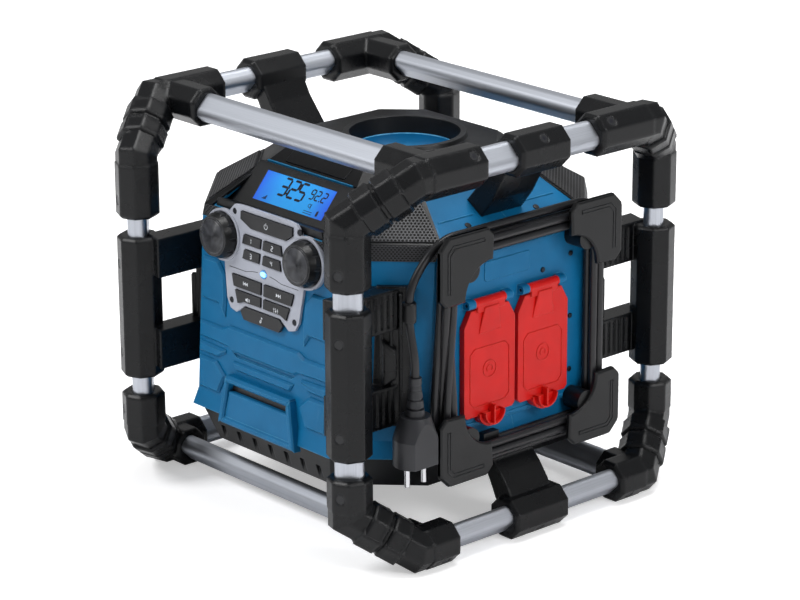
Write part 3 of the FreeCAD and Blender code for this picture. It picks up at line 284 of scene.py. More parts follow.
def streak_group() -> bpy.types.NodeTree:
    """Drawn metal: noise stretched along one axis.

    Returns:
        The node group, with a Streak output from 0 to 1.
    """
    made = GroupBuilder.group(
        "Drawn streaks",
        {"Vector": (Socket.VECTOR, None), "Stretch": (Socket.VECTOR, (1.0, 1.0, 1.0))},
        {"Streak": Socket.VALUE})
    entry = made.node("NodeGroupInput")
    leave = made.node("NodeGroupOutput")
    scaled = made.node("ShaderNodeVectorMath", operation="MULTIPLY")
    made.feed(scaled.inputs[0], entry.outputs["Vector"])
    made.feed(scaled.inputs[1], entry.outputs["Stretch"])
    lines = made.noise(scaled.outputs[0], 1.0, 2.0)
    made.feed(leave.inputs["Streak"], made.remap(lines, 0.3, 0.7, 0.0, 1.0))
    return made.tree


def perforation_group() -> bpy.types.NodeTree:
    """Punched sheet on the corner slopes: round holes in offset rows.

    The row axis runs round the corner, so x and y are folded into the first quarter.

    Returns:
        The node group, with a Hole output that is 1 inside a hole.
    """
    made = GroupBuilder.group(
        "Punched holes",
        {"Vector": (Socket.VECTOR, None), "Pitch": (Socket.VALUE, 0.003),
         "Share": (Socket.VALUE, 0.34)},
        {"Hole": Socket.VALUE})
    entry = made.node("NodeGroupInput")
    leave = made.node("NodeGroupOutput")
    parts = made.node("ShaderNodeSeparateXYZ")
    made.feed(parts.inputs[0], entry.outputs["Vector"])
    x = made.math("ABSOLUTE", parts.outputs["X"])
    y = made.math("ABSOLUTE", parts.outputs["Y"])
    along = made.math("MULTIPLY", made.math("SUBTRACT", x, y), 0.7071)
    rise = made.math("MULTIPLY", parts.outputs["Z"], 1.62)
    pitch = entry.outputs["Pitch"]
    row = made.math("DIVIDE", rise, made.math("MULTIPLY", pitch, 0.866))
    odd = made.math("MODULO", made.math("FLOOR", row), 2.0)
    column = made.math("ADD", made.math("DIVIDE", along, pitch),
                       made.math("MULTIPLY", made.math("ABSOLUTE", odd), 0.5))
    du = made.math("SUBTRACT", made.math("FRACT", column), 0.5)
    dv = made.math("MULTIPLY", made.math("SUBTRACT", made.math("FRACT", row), 0.5), 0.866)
    far = made.math("SQRT", made.math("ADD", made.math("MULTIPLY", du, du),
                                      made.math("MULTIPLY", dv, dv)))
    edge = made.math("SUBTRACT", entry.outputs["Share"], far)
    made.feed(leave.inputs["Hole"], made.remap(edge, -0.03, 0.03, 0.0, 1.0))
    return made.tree


@dataclass
class GroupShelf:
    """The shared node groups, each built once."""

    grain: bpy.types.NodeTree = field(default_factory=grain_group)
    edge: bpy.types.NodeTree = field(default_factory=edge_group)
    streak: bpy.types.NodeTree = field(default_factory=streak_group)
    holes: bpy.types.NodeTree = field(default_factory=perforation_group)


# Finishes


@dataclass
class MaterialWriter(GroupBuilder):
    """A material's node tree with its Principled shader at hand."""

    material: bpy.types.Material = None
    shader: bpy.types.Node = None
    groups: GroupShelf = None

    @classmethod
    def start(cls, name: str, groups: GroupShelf) -> "MaterialWriter":
        """Make an empty node material.

        Args:
            name: the material's name.
            groups: the shared node groups.

        Returns:
            Its writer.
        """
        material = bpy.data.materials.new(name)
        material.use_nodes = True
        tree = material.node_tree
        shader = next(n for n in tree.nodes if n.type == "BSDF_PRINCIPLED")
        return cls(tree, material, shader, groups)

    def place(self) -> bpy.types.NodeSocket:
        """Return the Object coordinates."""
        return self.node("ShaderNodeTexCoord").outputs["Object"]

    def use(self, tree: bpy.types.NodeTree, **values: object) -> bpy.types.Node:
        """Place a shared group in the material.

        Args:
            tree: the group.
            values: its inputs by name.

        Returns:
            The group node.
        """
        made = self.node("ShaderNodeGroup", node_tree=tree)
        for key, value in values.items():
            self.feed(made.inputs[key], value)
        return made

    def bump(self, height: object, depth: float, strength: float,
             normal: object = None) -> bpy.types.NodeSocket:
        """Turn a height from 0 to 1 into a bumped normal.

        Args:
            height: the height's link.
            depth: real depth of the relief.
            strength: how strongly it shows.
            normal: the normal it is added to.

        Returns:
            The normal.
        """
        made = self.node("ShaderNodeBump")
        made.inputs["Strength"].default_value = strength
        made.inputs["Distance"].default_value = depth
        self.feed(made.inputs["Height"], height)
        if normal is not None:
            self.feed(made.inputs["Normal"], normal)
        return made.outputs[0]


@dataclass(frozen=True)
class MouldedPlastic:
    """Moulded plastic: fine grain, slow tone change, and paler edges, partly worn plastic and
    partly painted highlight.
    """

    name: str
    colour: Colour
    # Edge colour: worn plastic and painted highlight.
    rubbed_and_highlight: Colour
    roughness: float = 0.45
    grain: float = 0.0007
    relief: float = 0.00006
    rounding: float = 0.0012
    # How strongly edges take the edge colour: worn plastic and painted highlight.
    wear_and_highlight: float = 0.5
    coat: float = 0.0
    shine: float = 0.42

    def make(self, groups: GroupShelf) -> bpy.types.Material:
        """Build the material.

        Args:
            groups: the shared node groups.

        Returns:
            The material.
        """
        out = MaterialWriter.start(self.name, groups)
        place = out.place()
        grain = out.use(groups.grain, Vector=place, Size=self.grain)
        edge = out.use(groups.edge, Vector=place, Radius=self.rounding)
        darker = tuple(c * 0.86 for c in self.colour)
        toned = out.mix(grain.outputs["Tone"], darker, self.colour)
        # Edges take the paler edge colour: worn plastic and a painted highlight.
        share = out.math("MULTIPLY", edge.outputs["Edge"], self.wear_and_highlight)
        out.feed(out.shader.inputs["Base Color"], out.mix(share, toned, self.rubbed_and_highlight))
        rough = out.remap(grain.outputs["Tone"], 0.0, 1.0, self.roughness + 0.04,
                          self.roughness - 0.04)
        out.feed(out.shader.inputs["Roughness"], rough)
        normal = out.bump(grain.outputs["Height"], self.relief, 0.55, edge.outputs["Normal"])
        out.feed(out.shader.inputs["Normal"], normal)
        out.shader.inputs["Specular IOR Level"].default_value = self.shine
        out.shader.inputs["Coat Weight"].default_value = self.coat
        return out.material


@dataclass(frozen=True)
class DrawnMetal:
    """Extruded or brushed metal with streaks along each bar."""

    name: str
    colour: Colour
    stretch: Vec
    roughness: float = 0.3
    metallic: float = 1.0
    rounding: float = 0.0008

    def make(self, groups: GroupShelf) -> bpy.types.Material:
        """Build the material.

        Args:
            groups: the shared node groups.

        Returns:
            The material.
        """
        out = MaterialWriter.start(self.name, groups)
        place = out.place()
        streak = out.use(groups.streak, Vector=place, Stretch=self.stretch)
        edge = out.use(groups.edge, Vector=place, Radius=self.rounding)
        darker = tuple(c * 0.9 for c in self.colour)
        tone = out.mix(streak.outputs["Streak"], darker, self.colour)
        out.feed(out.shader.inputs["Base Color"], tone)
        rough = out.remap(streak.outputs["Streak"], 0.0, 1.0, self.roughness + 0.06,
                          self.roughness - 0.05)
        out.feed(out.shader.inputs["Roughness"], rough)
        out.shader.inputs["Metallic"].default_value = self.metallic
        normal = out.bump(streak.outputs["Streak"], 0.00003, 0.3, edge.outputs["Normal"])
        out.feed(out.shader.inputs["Normal"], normal)
        return out.material


@dataclass(frozen=True)
class PunchedSheet:
    """Black perforated sheet over the speakers."""

    name: str
    colour: Colour
    pitch: float = 0.0032
    share: float = 0.33

    def make(self, groups: GroupShelf) -> bpy.types.Material:
        """Build the material.

        Args:
            groups: the shared node groups.

        Returns:
            The material.
        """
        out = MaterialWriter.start(self.name, groups)
        place = out.place()
        holes = out.use(groups.holes, Vector=place, Pitch=self.pitch, Share=self.share)
        edge = out.use(groups.edge, Vector=place, Radius=0.001)
        hole = holes.outputs["Hole"]
        tone = out.mix(hole, self.colour, (0.001, 0.001, 0.001))
        out.feed(out.shader.inputs["Base Color"], tone)
        out.feed(out.shader.inputs["Roughness"], out.remap(hole, 0.0, 1.0, 0.42, 0.95))
        sunk = out.math("SUBTRACT", 1.0, hole)
        out.feed(out.shader.inputs["Normal"],
                 out.bump(sunk, 0.0008, 0.8, edge.outputs["Normal"]))
        return out.material


@dataclass(frozen=True)
class BacklitGlass:
    """Blue display window, lit from behind and turning violet near its rim."""

    name: str
    middle: Colour
    rim: Colour
    half_width: float
    glow: float = 0.55

    def make(self, groups: GroupShelf) -> bpy.types.Material:
        """Build the material.

        Args:
            groups: the shared node groups.

        Returns:
            The material.
        """
        out = MaterialWriter.start(self.name, groups)
        place = out.place()
        parts = out.node("ShaderNodeSeparateXYZ")
        out.feed(parts.inputs[0], place)
        away = out.math("ABSOLUTE", parts.outputs["X"])
        share = out.remap(away, self.half_width * 0.45, self.half_width, 0.0, 0.85)
        cloud = out.remap(out.noise(place, 45.0, 1.0), 0.35, 0.65, -0.08, 0.08)
        blend = out.math("ADD", share, cloud, clamp=True)
        tone = out.mix(blend, self.middle, self.rim)
        out.feed(out.shader.inputs["Base Color"], tone)
        out.feed(out.shader.inputs["Emission Color"], tone)
        out.shader.inputs["Emission Strength"].default_value = self.glow
        out.shader.inputs["Roughness"].default_value = 0.12
        return out.material


BLACK = colour_of(13, 14, 16)
# Paler black for edges: worn plastic and painted highlight.
RUBBED_AND_HIGHLIGHT_BLACK = colour_of(74, 77, 83)
BLUE = colour_of(4, 102, 150)
RED = colour_of(206, 18, 14)
TUBE = colour_of(186, 190, 198)


def finish_list() -> dict[str, object]:
    """Name every finish of the radio.

    Returns:
        Finish name to finish.
    """
    rows = [
        MouldedPlastic("Corner moulding", BLACK, RUBBED_AND_HIGHLIGHT_BLACK, 0.26, rounding=0.0045, wear_and_highlight=0.1,
                       relief=0.00003, shine=0.28),
        MouldedPlastic("Mount moulding", BLACK, RUBBED_AND_HIGHLIGHT_BLACK, 0.28, rounding=0.003, wear_and_highlight=0.16,
                       relief=0.00003, shine=0.26),
        MouldedPlastic("Cover black", BLACK, RUBBED_AND_HIGHLIGHT_BLACK, 0.36, wear_and_highlight=0.4, shine=0.34),
        MouldedPlastic("Housing blue", BLUE, colour_of(96, 176, 216), 0.46, grain=0.0009,
                       relief=0.0001, rounding=0.0013, wear_and_highlight=0.7, shine=0.22),
        MouldedPlastic("Key black", colour_of(24, 25, 28), colour_of(84, 86, 92), 0.4,
                       rounding=0.0006),
        MouldedPlastic("Knob black", BLACK, colour_of(88, 91, 98), 0.3,
                       rounding=0.001),
        MouldedPlastic("Knob face", colour_of(22, 23, 26), colour_of(110, 112, 118), 0.3,
                       rounding=0.0004, relief=0.00003),
        MouldedPlastic("Lid red", RED, colour_of(240, 84, 66), 0.34, grain=0.0005,
                       relief=0.00003, rounding=0.0014, wear_and_highlight=0.55, shine=0.25),
        MouldedPlastic("Panel silver", colour_of(168, 172, 184), colour_of(214, 217, 224), 0.36,
                       grain=0.0004, relief=0.00003, rounding=0.001),
        MouldedPlastic("Cord rubber", colour_of(28, 28, 31), colour_of(60, 61, 65), 0.36,
                       grain=0.0012, relief=0.00004, rounding=0.0004),
        MouldedPlastic("Plug rubber", colour_of(38, 39, 43), colour_of(84, 86, 92), 0.42,
                       rounding=0.0012),
        # Also used for painted shade: the bass slot and the panel grooves.
        MouldedPlastic("Socket black", colour_of(22, 22, 24), colour_of(60, 60, 64), 0.4),
        MouldedPlastic("Board inner", colour_of(20, 70, 50), colour_of(60, 110, 80), 0.5),
        MouldedPlastic("Blue lamp", colour_of(70, 150, 220), colour_of(150, 200, 240), 0.2,
                       rounding=0.0006, coat=0.4),
        MouldedPlastic("Print white", colour_of(222, 226, 232), colour_of(235, 238, 242), 0.4,
                       rounding=0.0001, relief=0.00001),
        # Also used for painted shade in the screw drives.
        MouldedPlastic("Print black", colour_of(8, 10, 22), colour_of(12, 14, 26), 0.3,
                       rounding=0.0001, relief=0.00001),
        DrawnMetal("Tube along X", TUBE, (6.0, 900.0, 900.0), 0.46),
        DrawnMetal("Tube along Y", TUBE, (900.0, 6.0, 900.0), 0.46),
        DrawnMetal("Tube along Z", TUBE, (900.0, 900.0, 6.0), 0.34),
        DrawnMetal("Screw steel", colour_of(48, 50, 55), (900.0, 900.0, 900.0), 0.38),
        DrawnMetal("Pin bright", colour_of(206, 207, 210), (500.0, 500.0, 60.0), 0.18),
        PunchedSheet("Grille black", colour_of(44, 45, 49)),
        BacklitGlass("Display backlit", colour_of(36, 130, 196), colour_of(36, 74, 190), 0.047),
        BacklitGlass("Lamp lit", colour_of(150, 215, 255), colour_of(20, 110, 225), 0.0048, 1.2),
    ]
    return {row.name: row for row in rows}


NODE_FINISH = {
    "corner_": "Corner moulding",
    "post_mount": "Mount moulding",
    "top_rail_mount": "Mount moulding",
    "bottom_rail_mount": "Mount moulding",
    "posts": "Tube along Z",
    "side_rails": "Tube along Y",
    "cross_rails": "Tube along X",
    "front_housing": "Housing blue",
    "rear_housing": "Housing blue",
    "bass_panel": "Housing blue",
    "outlets_plate": "Housing blue",
    "battery_door": "Housing blue",
    "bowl_liner": "Housing blue",
    "base_skid": "Cover black",
    "top_cover": "Cover black",
    "media_door": "Cover black",
    "display_bezel": "Cover black",
    "cord_hooks": "Cover black",
    "cord_gland": "Cover black",
    "control_panel": "Panel silver",
    "key_": "Key black",
    "left_knob": "Knob black",
    "right_knob": "Knob black",
    "display_lens": "Display backlit",
    "status_lens": "Blue lamp",
    "speaker_grilles": "Grille black",
    "speaker_drivers": "Socket black",
    "outlet_lid": "Lid red",
    "socket_inserts": "Socket black",
    "cage_screws": "Key black",
    "panel_screws": "Screw steel",
    "lid_pins": "Screw steel",
    "strain_relief": "Plug rubber",
    "plug_pins": "Pin bright",
    "plug": "Plug rubber",
    "power_supply": "Board inner",
    "cord_": "Cord rubber",
}


@dataclass
class FinishShelf:
    """Builds each finish once and dresses pieces with it."""

    groups: GroupShelf = field(default_factory=GroupShelf)
    made: dict[str, bpy.types.Material] = field(default_factory=dict)
    rows: dict[str, object] = field(default_factory=finish_list)

    def take(self, name: str) -> bpy.types.Material:
        """Return a finish's material, made the first time it is asked for."""
        if name not in self.made:
            self.made[name] = self.rows[name].make(self.groups)
        return self.made[name]

    def dress(self, piece: bpy.types.Object, name: str) -> None:
        """Give every face of a piece one finish.

        Args:
            piece: the object.
            name: the finish.
        """
        slots = piece.material_slots
        if len(slots) == 0:
            piece.data.materials.append(self.take(name))
            return
        for place in slots:
            place.material = self.take(name)

    def dress_nodes(self, nodes: dict[str, bpy.types.Object]) -> None:
        """Give each node of the frame the finish its name calls for.

        Args:
            nodes: node name to object.
        """
        for name, piece in nodes.items():
            fitting = [key for key in NODE_FINISH if name.startswith(key)]
            self.dress(piece, NODE_FINISH[max(fitting, key=len)])


# Surfaces


@dataclass
class Placed:
    """A flat place on the radio: a point, with right, up and outward directions."""

    at: np.ndarray
    right: np.ndarray
    up: np.ndarray
    out: np.ndarray

    def points(self, u: np.ndarray, v: np.ndarray, lift: np.ndarray | float) -> np.ndarray:
        """Map flat coordinates to the frame: at + u right + v up + lift outward.

        Args:
            u: distances to the right.
            v: distances upwards.
            lift: distances outwards.

        Returns:
            Points, one row each.
        """
        u, v, lift = np.broadcast_arrays(u, v, lift)
        flat = (u.reshape(-1, 1) * self.right + v.reshape(-1, 1) * self.up
                + lift.reshape(-1, 1) * self.out)
        return flat + self.at


def leaning_place(node: str, tilt: float, thick: float) -> Placed:
    """Find the middle of the outer face of a plate that leans back.

    The plate's box gives its outer low edge and its outer high edge, because its thickness
    and its lean are known.

    Args:
        node: the plate's node.
        tilt: how far the face leans back from upright, in radians.
        thick: the plate's thickness.

    Returns:
        The place, facing -Y and upwards.
    """
    low, high = (np.array(c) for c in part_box(node))
    out = np.array([0.0, -math.cos(tilt), math.sin(tilt)])
    up = np.array([0.0, math.sin(tilt), math.cos(tilt)])
    foot = np.array([0.0, low[1], low[2] + thick * out[2]])
    head = np.array([0.0, high[1] + thick * out[1], high[2]])
    at = (foot + head) / 2
    at[0] = (low[0] + high[0]) / 2
    return Placed(at, X_AXIS, up, out)


def facing_x(x: float, y: float = 0.0, z: float = 0.0) -> Placed:
    """Return a place that faces the outlets' side, with Y to its right and Z up."""
    return Placed(np.array([x, y, z]), Y_AXIS, Z_AXIS, X_AXIS)


def side_place(node: str) -> Placed:
    """Find the middle of a node's outer face on the outlets' side.

    Args:
        node: the node.

    Returns:
        The place, facing X.
    """
    low, high = (np.array(c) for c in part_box(node))
    return facing_x(high[0], (low[1] + high[1]) / 2, (low[2] + high[2]) / 2)


def full_turn(count: int) -> np.ndarray:
    """Return evenly spaced angles round a circle: whole multiples of 2 pi over the count."""
    return np.linspace(0, 2 * np.pi, count + 1)[:-1]


def disc(across: float, up: float, radius: float) -> list[tuple[float, float]]:
    """Return a round outline of 18 corners about a point."""
    return [(across + radius * math.cos(t), up + radius * math.sin(t)) for t in full_turn(18)]


def rectangle(x0: float, z0: float, x1: float, z1: float) -> list[tuple[float, float]]:
    """Return a rectangle's corners from two opposite ones."""
    return [(x0, z0), (x1, z0), (x1, z1), (x0, z1)]


def trapezoid(half: float, z0: float, half_end: float, z1: float) -> list[tuple[float, float]]:
    """Return a symmetric outline: half widths at two heights."""
    return [(-half, z0), (half, z0), (half_end, z1), (-half_end, z1)]


def both_sides(corners: list[tuple[float, float]]) -> list[list[tuple[float, float]]]:
    """Return an outline and its mirror image across the middle."""
    return [corners, [(-x, z) for x, z in corners]]


def mesh_piece(name: str, points: np.ndarray, faces: list, smooth: bool = False
               ) -> bpy.types.Object:
    """Make an object from points and faces.

    Args:
        name: the object's name.
        points: its points, one row each.
        faces: its faces as lists of point numbers.
        smooth: whether its faces shade smoothly.

    Returns:
        The object, at the origin.
    """
    mesh = bpy.data.meshes.new(name)
    mesh.from_pydata(points.tolist(), [], [list(map(int, f)) for f in faces])
    mesh.update()
    mesh.polygons.foreach_set("use_smooth", np.full(len(mesh.polygons), smooth))
    piece = bpy.data.objects.new(name, mesh)
    bpy.context.scene.collection.objects.link(piece)
    return piece


def riding_piece(name: str, points: list[np.ndarray], faces: list, shelf: FinishShelf,
                 finish: str, body: str, smooth: bool = False) -> bpy.types.Object:
    """Make a dressed piece that rides on a body, and report it.

    Args:
        name: the piece's name.
        points: blocks of its points, one row each.
        faces: its faces as lists of point numbers.
        shelf: the finishes.
        finish: which finish it takes.
        body: the body it rides on.
        smooth: whether its faces shade smoothly.

    Returns:
        The piece.
    """
    piece = mesh_piece(name, np.concatenate(points), faces, smooth)
    shelf.dress(piece, finish)
    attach(piece, body)
    LOG.info("%s: %d faces on %s", name, len(faces), body)
    return piece


@dataclass
class FlatPrint:
    """Collects flat outlines that are printed, or stand a little proud, on one place."""

    place: Placed
    lift: float = 0.00008
    tall: float = 0.00012
    points: list[np.ndarray] = field(default_factory=list)
    faces: list[list[int]] = field(default_factory=list)
    count: int = 0

    def outline(self, u: np.ndarray, v: np.ndarray) -> None:
        """Add one outline as a low block with a top and sides.

        Args:
            u: distances to the right, in order round the outline.
            v: distances upwards.
        """
        u = np.asarray(u, float)
        v = np.asarray(v, float)
        area = np.sum(u * np.roll(v, -1) - v * np.roll(u, -1))
        if area < 0:
            u, v = u[::-1], v[::-1]
        n = len(u)
        top = self.place.points(u, v, self.lift + self.tall)
        low = self.place.points(u, v, self.lift)
        k = self.count
        ring = np.arange(n)
        after = (ring + 1) % n
        self.faces.append(list(k + ring))
        self.faces.append(list(k + n + ring[::-1]))
        self.faces += np.stack([k + n + ring, k + n + after, k + after, k + ring], 1).tolist()
        self.points += [top, low]
        self.count += 2 * n

    def box(self, x0: float, z0: float, x1: float, z1: float) -> None:
        """Add a rectangle from two opposite corners, in millimetres."""
        self.outline(np.array([x0, x1, x1, x0]) * MM, np.array([z0, z0, z1, z1]) * MM)

    def line(self, start: tuple[float, float], end: tuple[float, float], wide: float) -> None:
        """Add a straight stroke between two points, all in millimetres."""
        self.band(np.array([start[0], end[0]]) * MM, np.array([start[1], end[1]]) * MM, wide * MM)

    def band(self, u: np.ndarray, v: np.ndarray, wide: float, closed: bool = False) -> None:
        """Add a stroke along a line: each side is the line moved half its width.

        Args:
            u: distances to the right along the line.
            v: distances upwards along the line.
            wide: the stroke's width.
            closed: whether the line's end joins its start.
        """
        line = np.stack([u, v], 1).astype(float)
        if closed:
            ahead = np.roll(line, -1, 0) - np.roll(line, 1, 0)
        else:
            ahead = np.gradient(line, axis=0)
        ahead /= np.linalg.norm(ahead, axis=1, keepdims=True)
        across = np.stack([-ahead[:, 1], ahead[:, 0]], 1) * wide / 2
        left = line + across
        right = line - across
        n = len(line)
        last = n if closed else n - 1
        k = self.count
        for ring, level in ((0, self.lift + self.tall), (2 * n, self.lift)):
            both = np.concatenate([left, right])
            self.points.append(self.place.points(both[:, 0], both[:, 1], level))
            i = np.arange(last)
            j = (i + 1) % n
            base = k + ring
            quads = np.stack([base + n + i, base + n + j, base + j, base + i], 1)
            self.faces += (quads if ring == 0 else quads[:, ::-1]).tolist()
        i = np.arange(last)
        j = (i + 1) % n
        self.faces += np.stack([k + i, k + j, k + 2 * n + j, k + 2 * n + i], 1).tolist()
        self.faces += np.stack([k + n + j, k + n + i, k + 3 * n + i, k + 3 * n + j], 1).tolist()
        if not closed:
            m = n - 1
            self.faces.append([k + 0, k + 2 * n, k + 3 * n, k + n])
            self.faces.append([k + n + m, k + 3 * n + m, k + 2 * n + m, k + m])
        self.count += 4 * n

    def arc(self, centre: tuple[float, float], radius: float, start: float, end: float,
            wide: float) -> None:
        """Add a round stroke.

        Args:
            centre: middle of the arc.
            radius: its radius.
            start: angle it starts at, in degrees from the right.
            end: angle it ends at.
            wide: the stroke's width.
        """
        full = abs(end - start) >= 360
        angle = np.radians(np.linspace(start, end, 37)[: -1 if full else None])
        self.band(centre[0] + radius * np.cos(angle), centre[1] + radius * np.sin(angle),
                  wide, closed=full)

    def build(self, name: str, shelf: FinishShelf, finish: str, body: str) -> bpy.types.Object:
        """Turn what was collected into one piece that rides on a body.

        Args:
            name: the piece's name.
            shelf: the finishes.
            finish: which finish it takes.
            body: the body it rides on.

        Returns:
            The piece.
        """
        return riding_piece(name, self.points, self.faces, shelf, finish, body)


SEGMENTS = {
    "0": "abcdef", "1": "bc", "2": "abged", "3": "abgcd", "4": "fgbc",
    "5": "afgcd", "6": "afgedc", "7": "abc", "8": "abcdefg", "9": "abcdfg",
}


def digit(sheet: FlatPrint, sign: str, at: tuple[float, float], tall: float,
          thick: float, slant: float = 0.1) -> None:
    """Draw one seven-segment digit: bars with pointed ends, slanted to the right.

    Args:
        sheet: the print it goes on.
        sign: the digit.
        at: its lower left corner.
        tall: its height.
        thick: width of its bars.
        slant: how far its top leans right, as a share of its height.
    """
    half = tall / 2
    wide = tall * 0.52
    ends = {"a": (0, tall, wide, tall), "d": (0, 0, wide, 0), "g": (0, half, wide, half),
            "f": (0, half, 0, tall), "e": (0, 0, 0, half), "b": (wide, half, wide, tall),
            "c": (wide, 0, wide, half)}
    for name in SEGMENTS[sign]:
        x0, y0, x1, y1 = ends[name]
        a, b = np.array([x0, y0]), np.array([x1, y1])
        ahead = (b - a) / np.linalg.norm(b - a)
        side = np.array([-ahead[1], ahead[0]]) * thick / 2
        gap = ahead * thick * 0.12
        tip = ahead * thick * 0.6
        ring = np.array([a + gap, a + tip + side, b - tip + side, b - gap, b - tip - side,
                         a + tip - side])
        sheet.outline(at[0] + ring[:, 0] + ring[:, 1] * slant, at[1] + ring[:, 1])


# Sub-assemblies


@dataclass
class DisplayFace:
    """What the lit display shows: time, station number and small pictures."""

    tilt: float = math.radians(40.0)
    thick: float = 2.0 * MM
    big: float = 16.5 * MM
    big_bar: float = 2.2 * MM
    small: float = 9.0 * MM
    small_bar: float = 1.3 * MM
    low: float = -4.0 * MM

    def build(self, shelf: FinishShelf) -> None:
        """Print the digits and the small pictures on the window.

        Args:
            shelf: the finishes.
        """
        place = leaning_place("display_lens", self.tilt, self.thick)
        sheet = FlatPrint(place)
        for sign, across in (("3", -21.0), ("2", -9.0), ("5", 2.0)):
            digit(sheet, sign, (across * MM, self.low), self.big, self.big_bar)
        for level in (2.0, 7.5):
            u = np.array([-11.6, -10.0, -9.7, -11.3]) * MM
            v = np.array([0.0, 0.0, 1.7, 1.7]) * MM + self.low + level * MM
            sheet.outline(u, v)
        for sign, across in (("9", 18.0), ("2", 25.0), ("2", 33.5)):
            digit(sheet, sign, (across * MM, 1.0 * MM), self.small, self.small_bar)
        sheet.outline(np.array([31.0, 32.2, 32.3, 31.1]) * MM,
                      np.array([0.4, 0.4, 1.6, 1.6]) * MM)
        self.pictures(sheet)
        sheet.build("display_signs", shelf, "Print black", BODY)

    def pictures(self, sheet: FlatPrint) -> None:
        """Draw the aerial, signal bars, a note and a battery.

        Args:
            sheet: the print they go on.
        """
        for step in range(4):
            u = np.array([0.0, 0.9, 0.9, 0.0]) * MM + (-36.0 + step * 1.4) * MM
            v = np.array([0.0, 0.0, 1.0, 1.0]) * (1.0 + step) * MM - 12.0 * MM
            sheet.outline(u, v)
        sheet.arc((24.0 * MM, -5.0 * MM), 1.6 * MM, 0, 360, 0.5 * MM)
        sheet.line((26.0, -8.0), (26.0, -3.0), 0.5)
        for level in (-12.5, -10.5):
            sheet.line((20.0, level), (31.0, level), 0.5)
        sheet.box(36.0, -12.5, 38.5, -8.0)
        sheet.box(36.7, -7.6, 37.8, -7.0)


@dataclass
class KeySigns:
    """White signs on the keys, and the plain faces of the knobs."""

    tilt: float = FRONT_TILT
    key_thick: float = 3.1 * MM
    digit_tall: float = 4.2 * MM
    digit_bar: float = 0.7 * MM
    knob_height: float = 252.0 * MM
    knob_reach: float = 15.4 * MM
    knob_radius: float = 17.0 * MM

    def on_key(self, node: str) -> FlatPrint:
        """Start a print on a key's face."""
        return FlatPrint(leaning_place(node, self.tilt, self.key_thick))

    def build(self, shelf: FinishShelf) -> None:
        """Print the digits, arrows and signs, each riding on its key.

        Args:
            shelf: the finishes.
        """
        for sign in "1234":
            sheet = self.on_key("key_" + sign)
            shift = -0.26 * self.digit_tall if sign != "1" else -0.52 * self.digit_tall
            digit(sheet, sign, (shift, -self.digit_tall / 2), self.digit_tall, self.digit_bar,
                  0.0)
            sheet.build(f"key_{sign}_sign", shelf, "Print white", "key_" + sign)
        power = self.on_key("key_power")
        power.arc((0.0, -0.2 * MM), 2.2 * MM, 125, 415, 0.55 * MM)
        power.line((0.0, 0.4), (0.0, 3.0), 0.6)
        power.build("key_power_sign", shelf, "Print white", "key_power")
        for node, way in (("key_previous", -1), ("key_next", 1)):
            sheet = self.on_key(node)
            for start in (-2.6, 0.2):
                u = np.array([0.0, 2.6, 0.0]) * way * MM + (start if way > 0 else -start) * MM
                sheet.outline(u, np.array([-1.7, 0.0, 1.7]) * MM)
            sheet.box(3.0 * way, -1.7, 3.7 * way, 1.7)
            sheet.build(node + "_sign", shelf, "Print white", node)
        mute = self.on_key("key_mute")
        mute.outline(np.array([-2.4, -1.2, 0.6, 0.6, -1.2, -2.4]) * MM,
                     np.array([-0.8, -0.8, -2.2, 2.2, 0.8, 0.8]) * MM)
        mute.line((1.6, -1.4), (3.6, 1.4), 0.5)
        mute.line((1.6, 1.4), (3.6, -1.4), 0.5)
        mute.build("key_mute_sign", shelf, "Print white", "key_mute")
        tone = self.on_key("key_tone")
        for across, level in ((-2.4, 0.9), (0.0, -0.8), (2.4, 0.3)):
            tone.line((across, -2.2), (across, 2.2), 0.45)
            u = np.array([-0.9, 0.9, 0.9, -0.9]) * MM + across * MM
            tone.outline(u, np.array([-0.4, -0.4, 0.4, 0.4]) * MM + level * MM)
        tone.build("key_tone_sign", shelf, "Print white", "key_tone")
        mode = self.on_key("key_mode")
        mode.line((0.4, -2.0), (0.4, 2.2), 0.5)
        mode.arc((-0.5 * MM, -2.0 * MM), 0.9 * MM, 0, 360, 0.7 * MM)
        mode.line((0.4, 2.0), (2.0, 1.0), 0.6)
        mode.build("key_mode_sign", shelf, "Print white", "key_mode")
        for side in ("left", "right"):
            self.knob_face(side, shelf)

    def knob_face(self, side: str, shelf: FinishShelf) -> None:
        """Make a knob's face.

        Its height falls with the square of the radius, and a raised ring near its rim is a
        bell curve of the radius.

        Args:
            side: left or right.
            shelf: the finishes.
        """
        low, high = (np.array(c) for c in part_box(side + "_knob"))
        face = FrontRelief().place()
        middle = (low[0] + high[0]) / 2
        at = face.points(np.array([middle]), np.array([self.knob_height]), self.knob_reach)[0]
        place = Placed(at, face.right, face.up, face.out)
        rings = np.linspace(0.0, 1.0, 21)[1:]
        angle = full_turn(48)
        share, turn = np.meshgrid(rings, angle, indexing="ij")
        proud, dome, rim_tall = 0.1 * MM, 0.05 * MM, 0.3 * MM
        rim_at, rim_wide = 0.93, 0.04
        rim = rim_tall * np.exp(-((share - rim_at) / rim_wide) ** 2)
        lift = proud + rim + dome * (1 - share ** 2)
        reach = self.knob_radius * share
        shell = place.points(reach * np.cos(turn), reach * np.sin(turn), lift)
        tip = place.points(np.array([0.0]), np.array([0.0]), proud + dome)
        n = len(angle)
        i = np.arange(n)
        j = (i + 1) % n
        faces = []
        for ring in range(len(rings) - 1):
            a, b = ring * n, (ring + 1) * n
            faces += np.stack([a + i, b + i, b + j, a + j], 1).tolist()
        centre = len(rings) * n
        faces += np.stack([np.full(n, centre), i, j], 1).tolist()
        foot = (len(rings) - 1) * n
        faces.append((foot + i[::-1]).tolist())
        riding_piece(side + "_knob_face", [shell, tip], faces, shelf, "Knob face",
                     side + "_knob", True)


